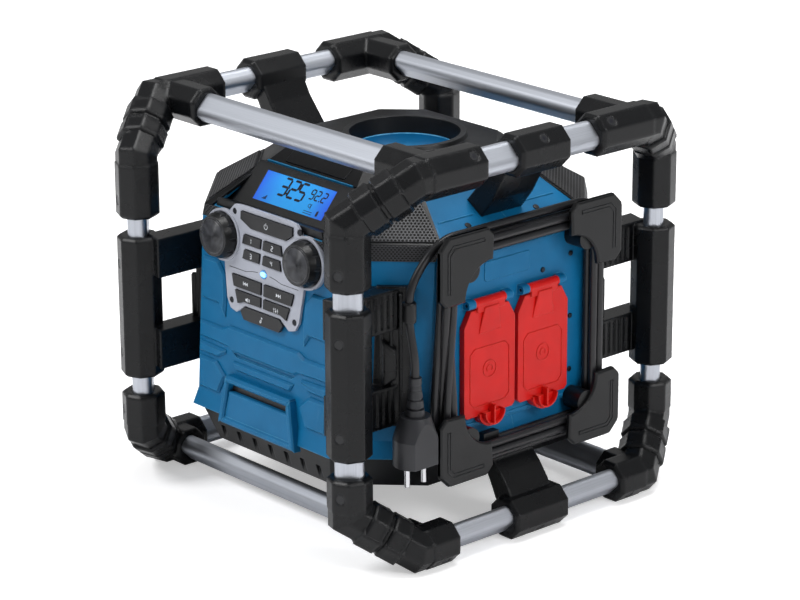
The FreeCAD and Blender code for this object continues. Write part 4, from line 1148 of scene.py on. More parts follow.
@dataclass
class LidRelief:
    """Raised lines and the round sign on an outlet lid."""

    side: str
    inset: float = 7.0 * MM
    ring: float = 7.6 * MM
    ring_v: float = -8.0 * MM
    height: float = 163.0 * MM
    top: float = 13.0 * MM
    foot: float = -40.0 * MM
    corner: float = 5.0 * MM

    def build(self, shelf: FinishShelf) -> None:
        """Raise a rectangle's outline and a ring with a small sign on the lid.

        Args:
            shelf: the finishes.
        """
        node = "outlet_lid_" + self.side
        place = side_place(node)
        low, high = (np.array(c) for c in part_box(node))
        place.at[0] = low[0] + LID_THICK * MM
        place.at[2] = self.height
        half = (high[1] - low[1]) / 2 - self.inset
        sheet = FlatPrint(place, lift=-0.05 * MM, tall=0.55 * MM)
        top, foot, corner = self.top, self.foot, self.corner
        u = np.array([-half + corner, half - corner, half, half, half - corner,
                      -half + corner, -half, -half])
        v = np.array([foot, foot, foot + corner, top - corner, top, top, top - corner,
                      foot + corner])
        sheet.band(u, v, 1.0 * MM, closed=True)
        sheet.arc((0.0, self.ring_v), self.ring, 0, 360, 0.9 * MM)
        sheet.arc((0.0, self.ring_v), self.ring * 0.42, -40, 220, 0.9 * MM)
        sheet.build(node + "_relief", shelf, "Lid red", node)


@dataclass
class WoundCord:
    """The mains cord: turns wound on the four hooks, then a free run to the plug.

    A turn is a rounded rectangle, with its corners on an octagon's control points.
    """

    radius: float = 3.6 * MM
    pitch: float = 7.7 * MM
    half: float = 84.0 * MM
    low: float = 88.0 * MM
    high: float = 268.0 * MM
    bend: float = 14.0 * MM
    first_x: float = 158.2 * MM
    exit_y: float = -26.0 * MM
    turns: int = 5
    columns: int = 2
    plug_x: float = 166.0 * MM
    plug_y: float = -128.0 * MM
    relief_z: float = 171.0 * MM
    crossing: float = 30.0 * MM
    near: float = 0.586
    far: float = 1.414

    def corner(self, x: float, at: tuple[float, float], come: tuple[float, float],
               go: tuple[float, float], bend: float) -> np.ndarray:
        """Give a round corner's four control points.

        Args:
            x: how far out the turn lies.
            at: the square corner, as (y, z).
            come: direction the cord arrives in.
            go: direction it leaves in.
            bend: the corner's radius.

        Returns:
            Four points: 1.414 and 0.586 radii before the corner, and after it.
        """
        place = np.array(at)
        before = [place - np.array(come) * bend * k for k in (self.far, self.near)]
        after = [place + np.array(go) * bend * k for k in (self.near, self.far)]
        flat = np.array(before + after)
        return np.column_stack([np.full(4, x), flat])

    def route(self) -> np.ndarray:
        """Work out the control points: a loop over the turns, then the free run.

        Returns:
            The points, one row each.
        """
        x = self.first_x
        grow = 0.0
        rows = [np.array([[x, self.exit_y, self.low]])]
        for turn in range(self.turns):
            y, low, high = self.half + grow, self.low - grow, self.high + grow
            bend = self.bend + grow
            rows.append(self.corner(x, (y, low), (1, 0), (0, 1), bend))
            rows.append(self.corner(x, (y, high), (0, 1), (-1, 0), bend))
            if turn == self.turns - 1:
                rows.append(self.free_run(x, -y + bend, high))
                break
            rows.append(self.corner(x, (-y, high), (-1, 0), (0, -1), bend))
            top = high - bend - self.crossing
            foot = low + bend + self.crossing
            before = np.array([x, -y, top])
            if turn // self.columns == (turn + 1) // self.columns:
                x += self.pitch if (turn // self.columns) % 2 == 0 else -self.pitch
            else:
                grow += self.pitch
            after = np.array([x, -(self.half + grow), foot])
            rows.append(np.array([before, before * 0.62 + after * 0.38,
                                  before * 0.38 + after * 0.62, after]))
            low, bend = self.low - grow, self.bend + grow
            rows.append(self.corner(x, (-(self.half + grow), low), (0, -1), (1, 0), bend))
        return np.concatenate(rows)

    def free_run(self, x: float, y: float, z: float) -> np.ndarray:
        """Give the run from the last turn, round a wide bend and down to the plug.

        Args:
            x: how far out the last turn lies.
            y: where the wide bend starts.
            z: height of the last turn.

        Returns:
            The run's points.
        """
        bend = y - self.plug_y
        foot = z - bend
        return np.array([
            [x, y + 0.2 * bend, z],
            [x, y - 0.414 * bend, z],
            [x, self.plug_y, z - 0.586 * bend],
            [x, self.plug_y, foot - 0.1 * bend],
            [(x + self.plug_x) / 2, self.plug_y, (foot + self.relief_z) / 2 + 3.0 * MM],
            [self.plug_x, self.plug_y, self.relief_z + 14.0 * MM],
            [self.plug_x, self.plug_y, self.relief_z],
        ])

    def build(self, shelf: FinishShelf) -> None:
        """Args:
            shelf: the finishes.
        """
        points = self.route()
        curve = bpy.data.curves.new("mains_cord", "CURVE")
        curve.dimensions = "3D"
        spline = curve.splines.new("NURBS")
        spline.points.add(len(points) - 1)
        flat = np.column_stack([points, np.ones(len(points))]).ravel()
        spline.points.foreach_set("co", flat)
        spline.order_u = 3
        spline.use_endpoint_u = True
        spline.resolution_u = 6
        curve.bevel_depth = self.radius
        curve.bevel_resolution = 6
        curve.use_fill_caps = True
        piece = bpy.data.objects.new("mains_cord", curve)
        bpy.context.scene.collection.objects.link(piece)
        shelf.dress(piece, "Cord rubber")
        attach(piece, BODY)
        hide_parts("cord_winding", "cord_tail")
        LOG.info("cord: %d route points", len(points))


def inset(outline: np.ndarray, by: float) -> np.ndarray:
    """Move each side of a closed outline inwards: a corner goes to where its sides then meet.

    Args:
        outline: corners in anticlockwise order, one row each.
        by: how far the sides move.

    Returns:
        The smaller outline.
    """
    ahead = np.roll(outline, -1, 0) - outline
    ahead /= np.linalg.norm(ahead, axis=1, keepdims=True)
    inward = np.column_stack([-ahead[:, 1], ahead[:, 0]])
    before = np.roll(inward, 1, 0)
    share = 1.0 + np.sum(before * inward, axis=1, keepdims=True)
    return outline + by * (before + inward) / share


@dataclass
class Relief:
    """Collects raised plates with sloping sides, as one mesh on flat places."""

    points: list[np.ndarray] = field(default_factory=list)
    faces: list[list[int]] = field(default_factory=list)
    count: int = 0

    def plate(self, place: Placed, corners: list[tuple[float, float]], tall: float,
              slope: float = 0.8, foot: float = -0.4, fall: float = 0.0) -> None:
        """Raise a plate: its outline, then the same outline moved in by the slope, then a lid.

        Args:
            place: the flat place.
            corners: the outline in millimetres.
            tall: its height in millimetres.
            slope: how far its sides lean in, in millimetres.
            foot: where its sides start, in millimetres.
            fall: how much lower the lid is per millimetre upwards.
        """
        rim = np.array(corners, float)
        area = np.sum(rim[:, 0] * np.roll(rim[:, 1], -1) - rim[:, 1] * np.roll(rim[:, 0], -1))
        if area < 0:
            rim = rim[::-1]
        small = inset(rim, slope)
        middle = rim[:, 1].min()
        rings = []
        for ring, level in ((rim, foot), (rim, max(tall - slope, foot + 0.05)), (small, tall)):
            lift = level - fall * (ring[:, 1] - middle) * (level > foot)
            lift = np.maximum(lift, foot)
            rings.append(place.points(ring[:, 0] * MM, ring[:, 1] * MM, lift * MM))
        n = len(rim)
        i = np.arange(n)
        j = (i + 1) % n
        k = self.count
        for step in (0, n):
            self.faces += (k + step + np.stack([i, j, n + j, n + i], 1)).tolist()
        self.faces.append((k + 2 * n + i).tolist())
        self.faces.append((k + i[::-1]).tolist())
        self.points += rings
        self.count += 3 * n

    def surface(self, grid: np.ndarray, closed: bool = False) -> None:
        """Add a grid of points as quads.

        Args:
            grid: points as rows, columns, xyz.
            closed: whether the last column joins the first.
        """
        rows, columns = grid.shape[:2]
        number = np.arange(rows * columns).reshape(rows, columns) + self.count
        after = np.roll(number, -1, 1) if closed else number[:, 1:]
        first = number if closed else number[:, :-1]
        quads = np.stack([first[:-1], after[:-1], after[1:], first[1:]], -1)
        self.faces += quads.reshape(-1, 4).tolist()
        self.points.append(grid.reshape(-1, 3))
        self.count += rows * columns

    def build(self, name: str, shelf: FinishShelf, finish: str, body: str,
              smooth: bool = False) -> bpy.types.Object:
        """Turn what was collected into one piece that rides on a body.

        Args:
            name: the piece's name.
            shelf: the finishes.
            finish: which finish it takes.
            body: the body it rides on.
            smooth: whether it shades smoothly.

        Returns:
            The piece.
        """
        return riding_piece(name, self.points, self.faces, shelf, finish, body, smooth)


@dataclass
class FrontRelief:
    """Moulded ledges of the blue front, and the bass port's cover."""

    tilt: float = FRONT_TILT
    foot_y: float = -160.0 * MM
    foot_z: float = 101.0 * MM

    def place(self) -> Placed:
        """Return the plane of the front face, with heights counted from the ground."""
        up = np.array([0.0, math.sin(self.tilt), math.cos(self.tilt)])
        out = np.array([0.0, -math.cos(self.tilt), math.sin(self.tilt)])
        at = np.array([0.0, self.foot_y, self.foot_z]) - up * self.foot_z
        return Placed(at, X_AXIS, up, out)

    def build(self, shelf: FinishShelf) -> None:
        """Make the ledges, the cover of the bass port, and a dark plate in its slot as painted
        shade.

        Args:
            shelf: the finishes.
        """
        face = self.place()
        ledges = Relief()
        band = [(-88, 151), (-76, 151), (-48, 150), (-43, 147.2), (43, 147.2), (48, 150),
                (76, 151), (88, 151), (88, 166), (56, 166), (48, 170), (-48, 170), (-56, 166),
                (-88, 166)]
        ledges.plate(face, band, 3.0, 2.2)
        shoulder = [(54, 176), (62, 187), (86, 187), (86, 226), (64, 226), (55, 215), (53, 196)]
        wedge = [(88, 104), (60, 104), (51, 122), (64, 133), (88, 133)]
        port = [(88, 137), (62, 137), (52, 143), (52, 146), (88, 147)]
        for part in (shoulder, wedge, port):
            for side in both_sides(part):
                ledges.plate(face, side, 3.2, 2.2)
        ledges.plate(face, trapezoid(42, 138.6, 37, 131), 2.4, 1.6)
        for side in both_sides([(76, 106), (80, 106), (83, 128), (79, 128)]):
            ledges.plate(face, side, 2.9, 0.5)
        ledges.build("front_ledges", shelf, "Housing blue", BODY)
        cover = Relief()
        cover.plate(face, trapezoid(43.5, 126, 45, 119), 8.6, 2.4)
        for side in both_sides([(44.5, 125), (39.5, 119), (46, 83), (53, 80)]):
            cover.plate(face, side, 8.6, 1.6)
        cover.plate(face, trapezoid(40, 111.5, 46, 86), 5.6, 1.2, 0.0, -0.03)
        cover.plate(face, trapezoid(48, 87, 51, 80), 7.4, 2.0)
        piece = cover.build("bass_cover", shelf, "Housing blue", BODY)
        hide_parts("bass_panel")
        # A dark plate in the port's slot: painted shade of the opening.
        slot = Relief()
        slot.plate(face, trapezoid(41, 119.5, 42, 111), 1.2, 0.2)
        slot.build("bass_slot", shelf, "Socket black", BODY)


@dataclass
class CornerCollars:
    """Two swollen collars round the slanted length of each corner.

    A collar is an octagon carried along the slant, and its half width rises and falls
    as a rounded step.
    """

    post_x: float = 143.3
    post_y: float = 182.5
    rail_x: float = 174.7
    elbow_y: float = 136.0
    levels: tuple[float, float] = (18.25, 348.0)
    rise: float = 36.0
    across: float = 36.4
    swell: float = 1.5
    long: float = 18.5
    gap: float = 2.6

    def build(self, shelf: FinishShelf) -> None:
        """Make all sixteen collars as one piece.

        Args:
            shelf: the finishes.
        """
        rings = Relief()
        for level, fold in ((self.levels[1], 1.0), (self.levels[0], -1.0)):
            low = np.array([self.post_x, self.post_y, level - fold * self.rise])
            high = np.array([self.rail_x, self.elbow_y, level])
            for flip in ((1, -1, 1), (-1, -1, 1), (1, 1, 1), (-1, 1, 1)):
                for shift in (-0.5, 0.5):
                    self.collar(rings, low * flip, high * flip, shift, fold)
        rings.build("corner_collars", shelf, "Corner moulding", BODY)

    def collar(self, rings: Relief, low: np.ndarray, high: np.ndarray, shift: float,
               fold: float) -> None:
        """Add one collar.

        Args:
            rings: what it is added to.
            low: the slant's end at the post, in millimetres.
            high: its end at the side rail.
            shift: which of the two collars, -0.5 or 0.5.
            fold: 1 at the top of the cage and -1 at the bottom.
        """
        slant = high - low
        slant /= np.linalg.norm(slant)
        out = np.array([math.copysign(1.0, low[0]), math.copysign(1.0, low[1]), fold])
        out -= slant * out.dot(slant)
        out /= np.linalg.norm(out)
        side = np.cross(slant, out)
        middle = (low + high) / 2 + slant * shift * (self.long + self.gap)
        along = np.array([0.0, 0.0, 0.8, 2.2, 4.0]) - self.long / 2
        along = np.concatenate([along, -along[::-1]])
        lift = np.array([-1.5, 0.0, 0.9, 1.9, self.swell])
        lift = np.concatenate([lift, lift[::-1]])
        turn = np.radians(np.arange(8) * 45.0 + 22.5)
        reach = (self.across / 2 + lift[:, None]) / math.cos(math.pi / 8)
        grid = (middle + along[:, None, None] * slant
                + (reach * np.cos(turn))[..., None] * out
                + (reach * np.sin(turn))[..., None] * side)
        rings.surface(grid[:, ::-1] * MM, closed=True)


@dataclass
class HookPlates:
    """Broad faces on the cord hooks, each with a hollow inner corner and a raised line."""

    half_y: float = 108.0
    low: float = 66.0
    high: float = 290.0
    arm: float = 62.0
    wide: float = 30.0

    def outline(self, shrink: float) -> np.ndarray:
        """Give a face's outline, as distances from the hook's outer side and its end.

        Args:
            shrink: how far the outline is moved in, in millimetres.

        Returns:
            The corners: a chamfered square with a quarter circle cut from its inner corner.
        """
        arm, bend = self.arm, self.arm - self.wide
        turn = np.radians(np.linspace(270.0, 180.0, 13))
        hollow = np.column_stack([arm - 1 + bend * np.cos(turn), arm - 1 + bend * np.sin(turn)])
        outer = np.array([[0.0, arm - 7], [0.0, 10.0], [10.0, 0.0], [arm - 7, 0.0], [arm, 7.0]])
        whole = np.concatenate([outer, hollow, [[7.0, arm]]])
        return inset(whole, shrink) if shrink else whole

    def build(self, shelf: FinishShelf) -> None:
        """Make one face on each hook, mirrored up and down and side to side.

        Args:
            shelf: the finishes.
        """
        place = facing_x(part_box("cord_hooks")[1][0])
        faces = Relief()
        sheet = FlatPrint(place, lift=0.7 * MM, tall=0.7 * MM)
        middle = (self.low + self.high) / 2
        half = (self.high - self.low) / 2
        a, w = self.arm, self.wide
        line = np.array([[8, a - 12], [8, 14], [14, 8], [a - 12, 8], [a - 12, 11], [16, 11],
                         [11, 16], [11, a - 12]])
        for up in (1, -1):
            for side in (1, -1):
                rim = self.outline(0.0)
                y, z = (rim[:, 0] - self.half_y) * side, middle + (half - rim[:, 1]) * up
                faces.plate(place, list(zip(y, z)), 0.9, 1.6, -3.6)
                y, z = line[:, 0] - self.half_y, half - line[:, 1]
                sheet.band(y * side * MM, (middle + z * up) * MM, 0.7 * MM, closed=True)
        faces.build("hook_faces", shelf, "Cover black", BODY)
        sheet.build("hook_rims", shelf, "Cover black", BODY)


@dataclass
class LidFurniture:
    """The sloping strap and the curled finger tab on an outlet lid."""

    side: str
    strap_top: float = 213.0
    tab_foot: float = 117.0
    tab_radius: float = 12.0
    tab_reach: float = 8.0

    def build(self, shelf: FinishShelf) -> None:
        """Add the strap and the tab: a half ring that stands out, with a rib in its middle.

        Args:
            shelf: the finishes.
        """
        node = "outlet_lid_" + self.side
        low, high = (np.array(c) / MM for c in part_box(node))
        y = (low[1] + high[1]) / 2
        place = facing_x((low[0] + LID_THICK) * MM, y * MM)
        made = Relief()
        top, foot = self.strap_top, self.tab_foot
        made.plate(place, trapezoid(8, top, 13, top - 24), 0.4, 0.3, -0.4, -0.11)
        angle = np.linspace(np.pi, 2 * np.pi, 25)
        lip = np.array([[0.0, -1.0], [0.0, 0.75], [0.35, 1.0], [1.25, 1.0], [1.6, 0.75],
                        [1.6, -1.0]])
        radius = self.tab_radius - lip[:, 0]
        lift = np.where(lip[:, 1] > 0, lip[:, 1] * self.tab_reach, -0.4)
        u = radius[:, None] * np.cos(angle)
        v = foot + radius[:, None] * np.sin(angle)
        flat = place.points(u * MM, v * MM, np.broadcast_to(lift[:, None], u.shape) * MM)
        made.surface(flat.reshape(len(lip), len(angle), 3))
        made.plate(place, rectangle(-0.9, foot - self.tab_radius + 1, 0.9, foot + 6),
                   self.tab_reach - 0.6, 0.3)
        made.build(node + "_furniture", shelf, "Lid red", node)


@dataclass
class PlateRelief:
    """Raised lines, the bare label plate and screws on the outlets' plate."""

    face_x: float = 152.8
    screw: float = 2.4

    def build(self, shelf: FinishShelf) -> None:
        """Make the relief and the dark screws.

        Args:
            shelf: the finishes.
        """
        place = facing_x(self.face_x * MM)
        made = Relief()
        made.plate(place, [(-34, 232), (16, 232), (18, 234), (18, 248), (16, 250), (-34, 250),
                           (-36, 248), (-36, 234)], 0.9, 0.4)
        made.plate(place, rectangle(-66, 104, 60, 107), 1.0, 0.4)
        made.build("outlets_relief", shelf, "Housing blue", BODY)
        heads = Relief()
        for y, z in ((-73, 236), (68, 236), (-73, 150), (68, 178), (68, 128), (34, 228)):
            heads.plate(place, disc(y, z, self.screw), 1.2, 0.5)
        heads.build("outlets_screws", shelf, "Screw steel", BODY)


@dataclass
class BowlLining:
    """Blue wall of the bowl: a profile turned about the bowl's axis."""

    x: float = 4.0
    y: float = 6.0

    def build(self, shelf: FinishShelf) -> None:
        """Turn the lining.

        Args:
            shelf: the finishes.
        """
        profile = np.array([[31.0, 291.3], [45.2, 302.0], [46.9, 313.0], [46.9, 314.0],
                            [47.5, 314.0], [47.6, 312.5]])
        turn = full_turn(72)
        grid = np.stack([self.x + profile[:, :1] * np.cos(turn),
                         self.y + profile[:, :1] * np.sin(turn),
                         np.broadcast_to(profile[:, 1:], (len(profile), len(turn)))], -1)
        made = Relief()
        made.surface(grid[:, ::-1] * MM, closed=True)
        made.build("bowl_lining", shelf, "Housing blue", BODY, smooth=True)


@dataclass
class BrowTrim:
    """Black mouldings round the corner grilles, beside the hood and along the brow."""

    low: float = 262.0
    high: float = 274.0
    deck: float = 302.0
    brow_half: float = 152.0
    brow_flat: float = 84.0
    deck_half: float = 108.0
    deck_flat: float = 64.0
    hood_half: float = 51.0

    def build(self, shelf: FinishShelf) -> None:
        """Make the frames, the strips beside the hood and the punched bands.

        Args:
            shelf: the finishes.
        """
        frames = Relief()
        bands = Relief()
        for flip in ((1, 1), (-1, 1), (1, -1), (-1, -1)):
            turned = flip[0] * flip[1] < 0
            self.frame(frames, np.array([*flip, 1]), turned)
            self.band(bands, np.array([*flip, 1]), turned)
            if flip[1] > 0:
                self.strip(frames, np.array([*flip, 1]), turned)
        frames.build("brow_frames", shelf, "Cover black", BODY)
        bands.build("brow_bands", shelf, "Grille black", BODY)

    def frame(self, made: Relief, flip: np.ndarray, turned: bool) -> None:
        """Add a sloping frame along the four edges of one corner slope.

        Args:
            made: what it is added to.
            flip: signs of x and y, for the front right corner's mirror images.
            turned: whether the faces are wound the other way.
        """
        quad = np.array([[self.brow_flat, -self.brow_half, self.high],
                         [self.brow_half, -self.brow_flat, self.high],
                         [self.deck_half, -self.deck_flat, self.deck],
                         [self.deck_flat, -self.deck_half, self.deck]])
        right = (quad[1] - quad[0]) / np.linalg.norm(quad[1] - quad[0])
        out = np.cross(right, quad[3] - quad[0])
        out /= np.linalg.norm(out)
        up = np.cross(out, right)
        flat = np.column_stack([(quad - quad[0]) @ right, (quad - quad[0]) @ up])
        rows = []
        for step, lift in ((0.0, -0.3), (0.2, 0.7), (5.0, 0.7), (5.6, -0.4)):
            ring = inset(flat, step) if step else flat
            rows.append(quad[0] + ring[:, :1] * right + ring[:, 1:] * up + lift * out)
        grid = np.array(rows) * flip
        made.surface((grid if turned else grid[:, ::-1]) * MM, closed=True)

    def band(self, made: Relief, flip: np.ndarray, turned: bool) -> None:
        """Add the upright band of the brow, from beside the hood round one corner.

        Args:
            made: what it is added to.
            flip: signs of x and y.
            turned: whether the faces are wound the other way.
        """
        inner = self.hood_half if flip[1] > 0 else self.brow_flat
        rows = []
        for z, push in ((self.low - 1, -0.3), (self.low - 0.5, 0.7), (self.high, 0.7),
                        (self.high + 0.6, -0.2)):
            share = (z - self.low) / (self.high - self.low)
            half, leg = 150 + 2 * share + push, 60 + 8 * share
            rows.append([[inner, -half, z], [half - leg, -half, z], [half, leg - half, z]])
        grid = np.array(rows) * flip
        made.surface((grid[:, ::-1] if turned else grid) * MM)

    def strip(self, made: Relief, flip: np.ndarray, turned: bool) -> None:
        """Add the strip between the hood's side and the corner, on the front slope.

        Args:
            made: what it is added to.
            flip: signs of x and y.
            turned: whether the faces are wound the other way.
        """
        out = np.array([0.0, -SLOPE_RISE, SLOPE_RUN]) / SLOPE_LONG
        rows = []
        for share in (0.0, 1.0):
            y, z = SLOPE_RUN * share - self.brow_half, self.high + SLOPE_RISE * share
            inner, outer = 75.2 - 14.6 * share, self.brow_flat - 20.0 * share
            line = [[inner, y, z], [inner, y, z], [outer, y, z], [outer + 0.4, y, z]]
            rows.append(np.array(line) + np.outer([-1.5, 1.3, 1.3, -0.2], out))
        grid = np.array(rows) * flip
        made.surface((grid[:, ::-1] if turned else grid) * MM)


@dataclass
class HoodTrim:
    """Blue line along the back of the hood's top."""

    half: float = 57.0
    back: float = 3.4
    front: float = 2.0

    def build(self, shelf: FinishShelf) -> None:
        """Make the line.

        Args:
            shelf: the finishes.
        """
        high = np.array(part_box("display_bezel")[1]) / MM
        top = Placed(np.array([0.0, 0.0, high[2]]) * MM, X_AXIS, Y_AXIS, Z_AXIS)
        made = Relief()
        made.plate(top, rectangle(-self.half, high[1] - self.back, self.half,
                                  high[1] - self.front), 0.7, 0.2, -2.0)
        made.build("hood_line", shelf, "Housing blue", BODY)


@dataclass
class LampGlow:
    """The lit oval of the status lamp."""

    half: tuple[float, float] = (4.6, 2.6)
    height: float = 228.5
    shares: tuple[float, ...] = (1.0, 0.9, 0.6, 0.02)
    lifts: tuple[float, ...] = (3.3, 3.9, 4.3, 4.5)

    def build(self, shelf: FinishShelf) -> None:
        """Make the oval: a low dome over the lamp's window.

        Args:
            shelf: the finishes.
        """
        face = FrontRelief().place()
        turn = full_turn(32)
        share = np.array(self.shares)[:, None]
        u = self.half[0] * share * np.cos(turn) * MM
        v = (self.height + self.half[1] * share * np.sin(turn)) * MM
        lift = np.broadcast_to(np.array(self.lifts)[:, None] * MM, u.shape)
        made = Relief()
        made.surface(face.points(u, v, lift).reshape(*u.shape, 3), closed=True)
        made.build("lamp_oval", shelf, "Lamp lit", BODY, smooth=True)


@dataclass
class ScrewDrives:
    """Dark hexagons on the cage's screws: painted shade in their drive recesses.

    A screw's flat is found as the triangles of one loose part of the node that share a
    normal and have the largest area together, and the hexagon lies in its middle. Known
    limit: a head's top and the faces that look the other way are equally large, so on the
    posts' screws the hexagon lies inside, where it can't be seen.
    """

    node: str = "cage_screws"
    radius: float = 2.2 * MM
    same: float = 0.01 * MM
    rounds: int = 60

    def parts(self) -> list[np.ndarray]:
        """Split the node's triangles into screws by shared corners.

        Each corner takes the lowest number among the corners that it shares a triangle
        with, again and again, until nothing changes.

        Returns:
            For each screw, its triangles as rows of three points.
        """
        mesh = bpy.data.objects[self.node].data
        mesh.calc_loop_triangles()
        points = np.zeros(len(mesh.vertices) * 3)
        mesh.vertices.foreach_get("co", points)
        turn = np.array(bpy.data.objects[self.node].matrix_world)
        points = points.reshape(-1, 3) @ turn[:3, :3].T + turn[:3, 3]
        rows = np.zeros(len(mesh.loop_triangles) * 3, int)
        mesh.loop_triangles.foreach_get("vertices", rows)
        rows = rows.reshape(-1, 3)
        steps = np.round(points / self.same).astype(int)
        label = np.unique(steps, axis=0, return_inverse=True)[1].ravel()
        group = np.arange(label.max() + 1)
        for _ in range(self.rounds):
            low = group[label[rows]].min(axis=1)
            after = group.copy()
            np.minimum.at(after, label[rows].ravel(), np.repeat(low, 3))
            if np.array_equal(after, group):
                break
            group = after
        owner = group[label[rows[:, 0]]]
        return [points[rows[owner == key]] for key in np.unique(owner)]

    def build(self, shelf: FinishShelf) -> None:
        """Lay a thin dark hexagon, painted shade of the drive recess, on the flat of every screw.

        Args:
            shelf: the finishes.
        """
        dark = Relief()
        turn = full_turn(6)
        ring = np.column_stack([np.cos(turn), np.sin(turn)]) * self.radius / MM
        for part in self.parts():
            cross = np.cross(part[:, 1] - part[:, 0], part[:, 2] - part[:, 0])
            area = np.linalg.norm(cross, axis=1)
            normal = np.round(cross / np.maximum(area, 1e-12)[:, None], 2) + 0.0
            keys, which = np.unique(normal, axis=0, return_inverse=True)
            total = np.bincount(which.ravel(), weights=area)
            best = int(total.argmax())
            out = keys[best] / np.linalg.norm(keys[best])
            flat = part[which.ravel() == best].reshape(-1, 3)
            at = (flat.min(axis=0) + flat.max(axis=0)) / 2
            side = np.cross(out, Z_AXIS if abs(out[2]) < 0.9 else X_AXIS)
            side /= np.linalg.norm(side)
            place = Placed(at, side, np.cross(out, side), out)
            dark.plate(place, ring.tolist(), 0.1, 0.05, -0.05)
        # The hexagons are painted shade of the drive recesses.
        dark.build("screw_drives", shelf, "Print black", BODY)


@dataclass
class MountSpines:
    """Upright ribs and a stepped boss on each post mount's foot, against the housing."""

    low: float = 119.0
    high: float = 236.0
    half: float = 1.6
    foot: tuple[float, float] = (124.3, 129.3)

    def build(self, shelf: FinishShelf) -> None:
        """Make the ribs and the bosses on all four mounts.

        Args:
            shelf: the finishes.
        """
        made = Relief()
        for x, y in ((1, -1), (-1, -1), (1, 1), (-1, 1)):
            out = np.array([x, y, 0.0]) / math.sqrt(2.0)
            at = np.array([self.foot[0] * x, self.foot[1] * y, 0.0]) * MM
            place = Placed(at, np.cross(Z_AXIS, out), Z_AXIS, out)
            side = 1.0 if x * y < 0 else -1.0
            boss = [(1.0, 153.0), (13.0, 161.0), (13.0, 187.0), (1.0, 195.0)]
            made.plate(place, [(u * side, z) for u, z in boss], 8.0, 1.5, -1.0)
            for across in (0.5, 8.5, 16.5):
                u = across * side
                made.plate(place, rectangle(u - self.half, self.low, u + self.half, self.high),
                           3.2, 0.8, -1.0)
        made.build("mount_spines", shelf, "Mount moulding", BODY)


@dataclass
class CordClip:
    """Black clip round the cord's tail."""

    at: Vec = (158.4, -127.8, 227.0)

    def build(self, shelf: FinishShelf) -> None:
        """Make the clip: a short sleeve, its profile of height and radius turned about Z.

        Args:
            shelf: the finishes.
        """
        made = Relief()
        turn = full_turn(24)
        profile = ((-9.0, 3.4), (-9.0, 5.6), (-7.5, 6.2), (7.5, 6.2), (9.0, 5.6), (9.0, 3.4))
        rows = []
        for z, radius in profile:
            rows.append(np.column_stack([self.at[0] + radius * np.cos(turn),
                                         self.at[1] + radius * np.sin(turn),
                                         np.full(len(turn), self.at[2] + z)]))
        made.surface(np.array(rows) * MM, closed=True)
        made.build("cord_clip", shelf, "Cover black", BODY)


@dataclass
class SlopeDetails:
    """Dark screws and two long creases on the blue slope over the outlets."""

    foot_x: float = 152.0
    foot_z: float = 274.0
    screw: float = 3.0
    screw_up: float = 14.2
    crease: tuple[float, float] = (23.5, 25.0)

    def build(self, shelf: FinishShelf) -> None:
        """Make the screws and the creases.

        Args:
            shelf: the finishes.
        """
        out = np.array([SLOPE_RISE, 0.0, SLOPE_RUN]) / SLOPE_LONG
        up = np.array([-SLOPE_RUN, 0.0, SLOPE_RISE]) / SLOPE_LONG
        place = Placed(np.array([self.foot_x, 0.0, self.foot_z]) * MM, Y_AXIS, up, out)
        heads = Relief()
        for y in (-43.4, 37.6):
            heads.plate(place, disc(y, self.screw_up, self.screw), 1.0, 0.5)
        heads.build("slope_screws", shelf, "Socket black", BODY)
        creases = Relief()
        low, high = self.crease
        for start, end in ((-70.0, -30.0), (32.0, 66.0)):
            creases.plate(place, rectangle(start, low, end, high), 0.8, 0.4)
        creases.build("slope_creases", shelf, "Housing blue", BODY)


@dataclass
class PanelGrooveShade:
    """Thin dark lines on the silver panel either side of the lamp: painted shade of sunk grooves.
    """

    def build(self, shelf: FinishShelf) -> None:
        """Draw the two lines of painted groove shade.

        Args:
            shelf: the finishes.
        """
        face = FrontRelief().place()
        sheet = FlatPrint(face, lift=3.02 * MM, tall=0.1 * MM)
        for side in (1, -1):
            x = np.array([8.0, 16.0, 24.0, 47.0]) * side
            z = np.array([228.5, 227.5, 225.5, 225.5])
            sheet.band(x * MM, z * MM, 0.5 * MM)
        sheet.build("panel_lines", shelf, "Socket black", BODY)


# Room, light and camera


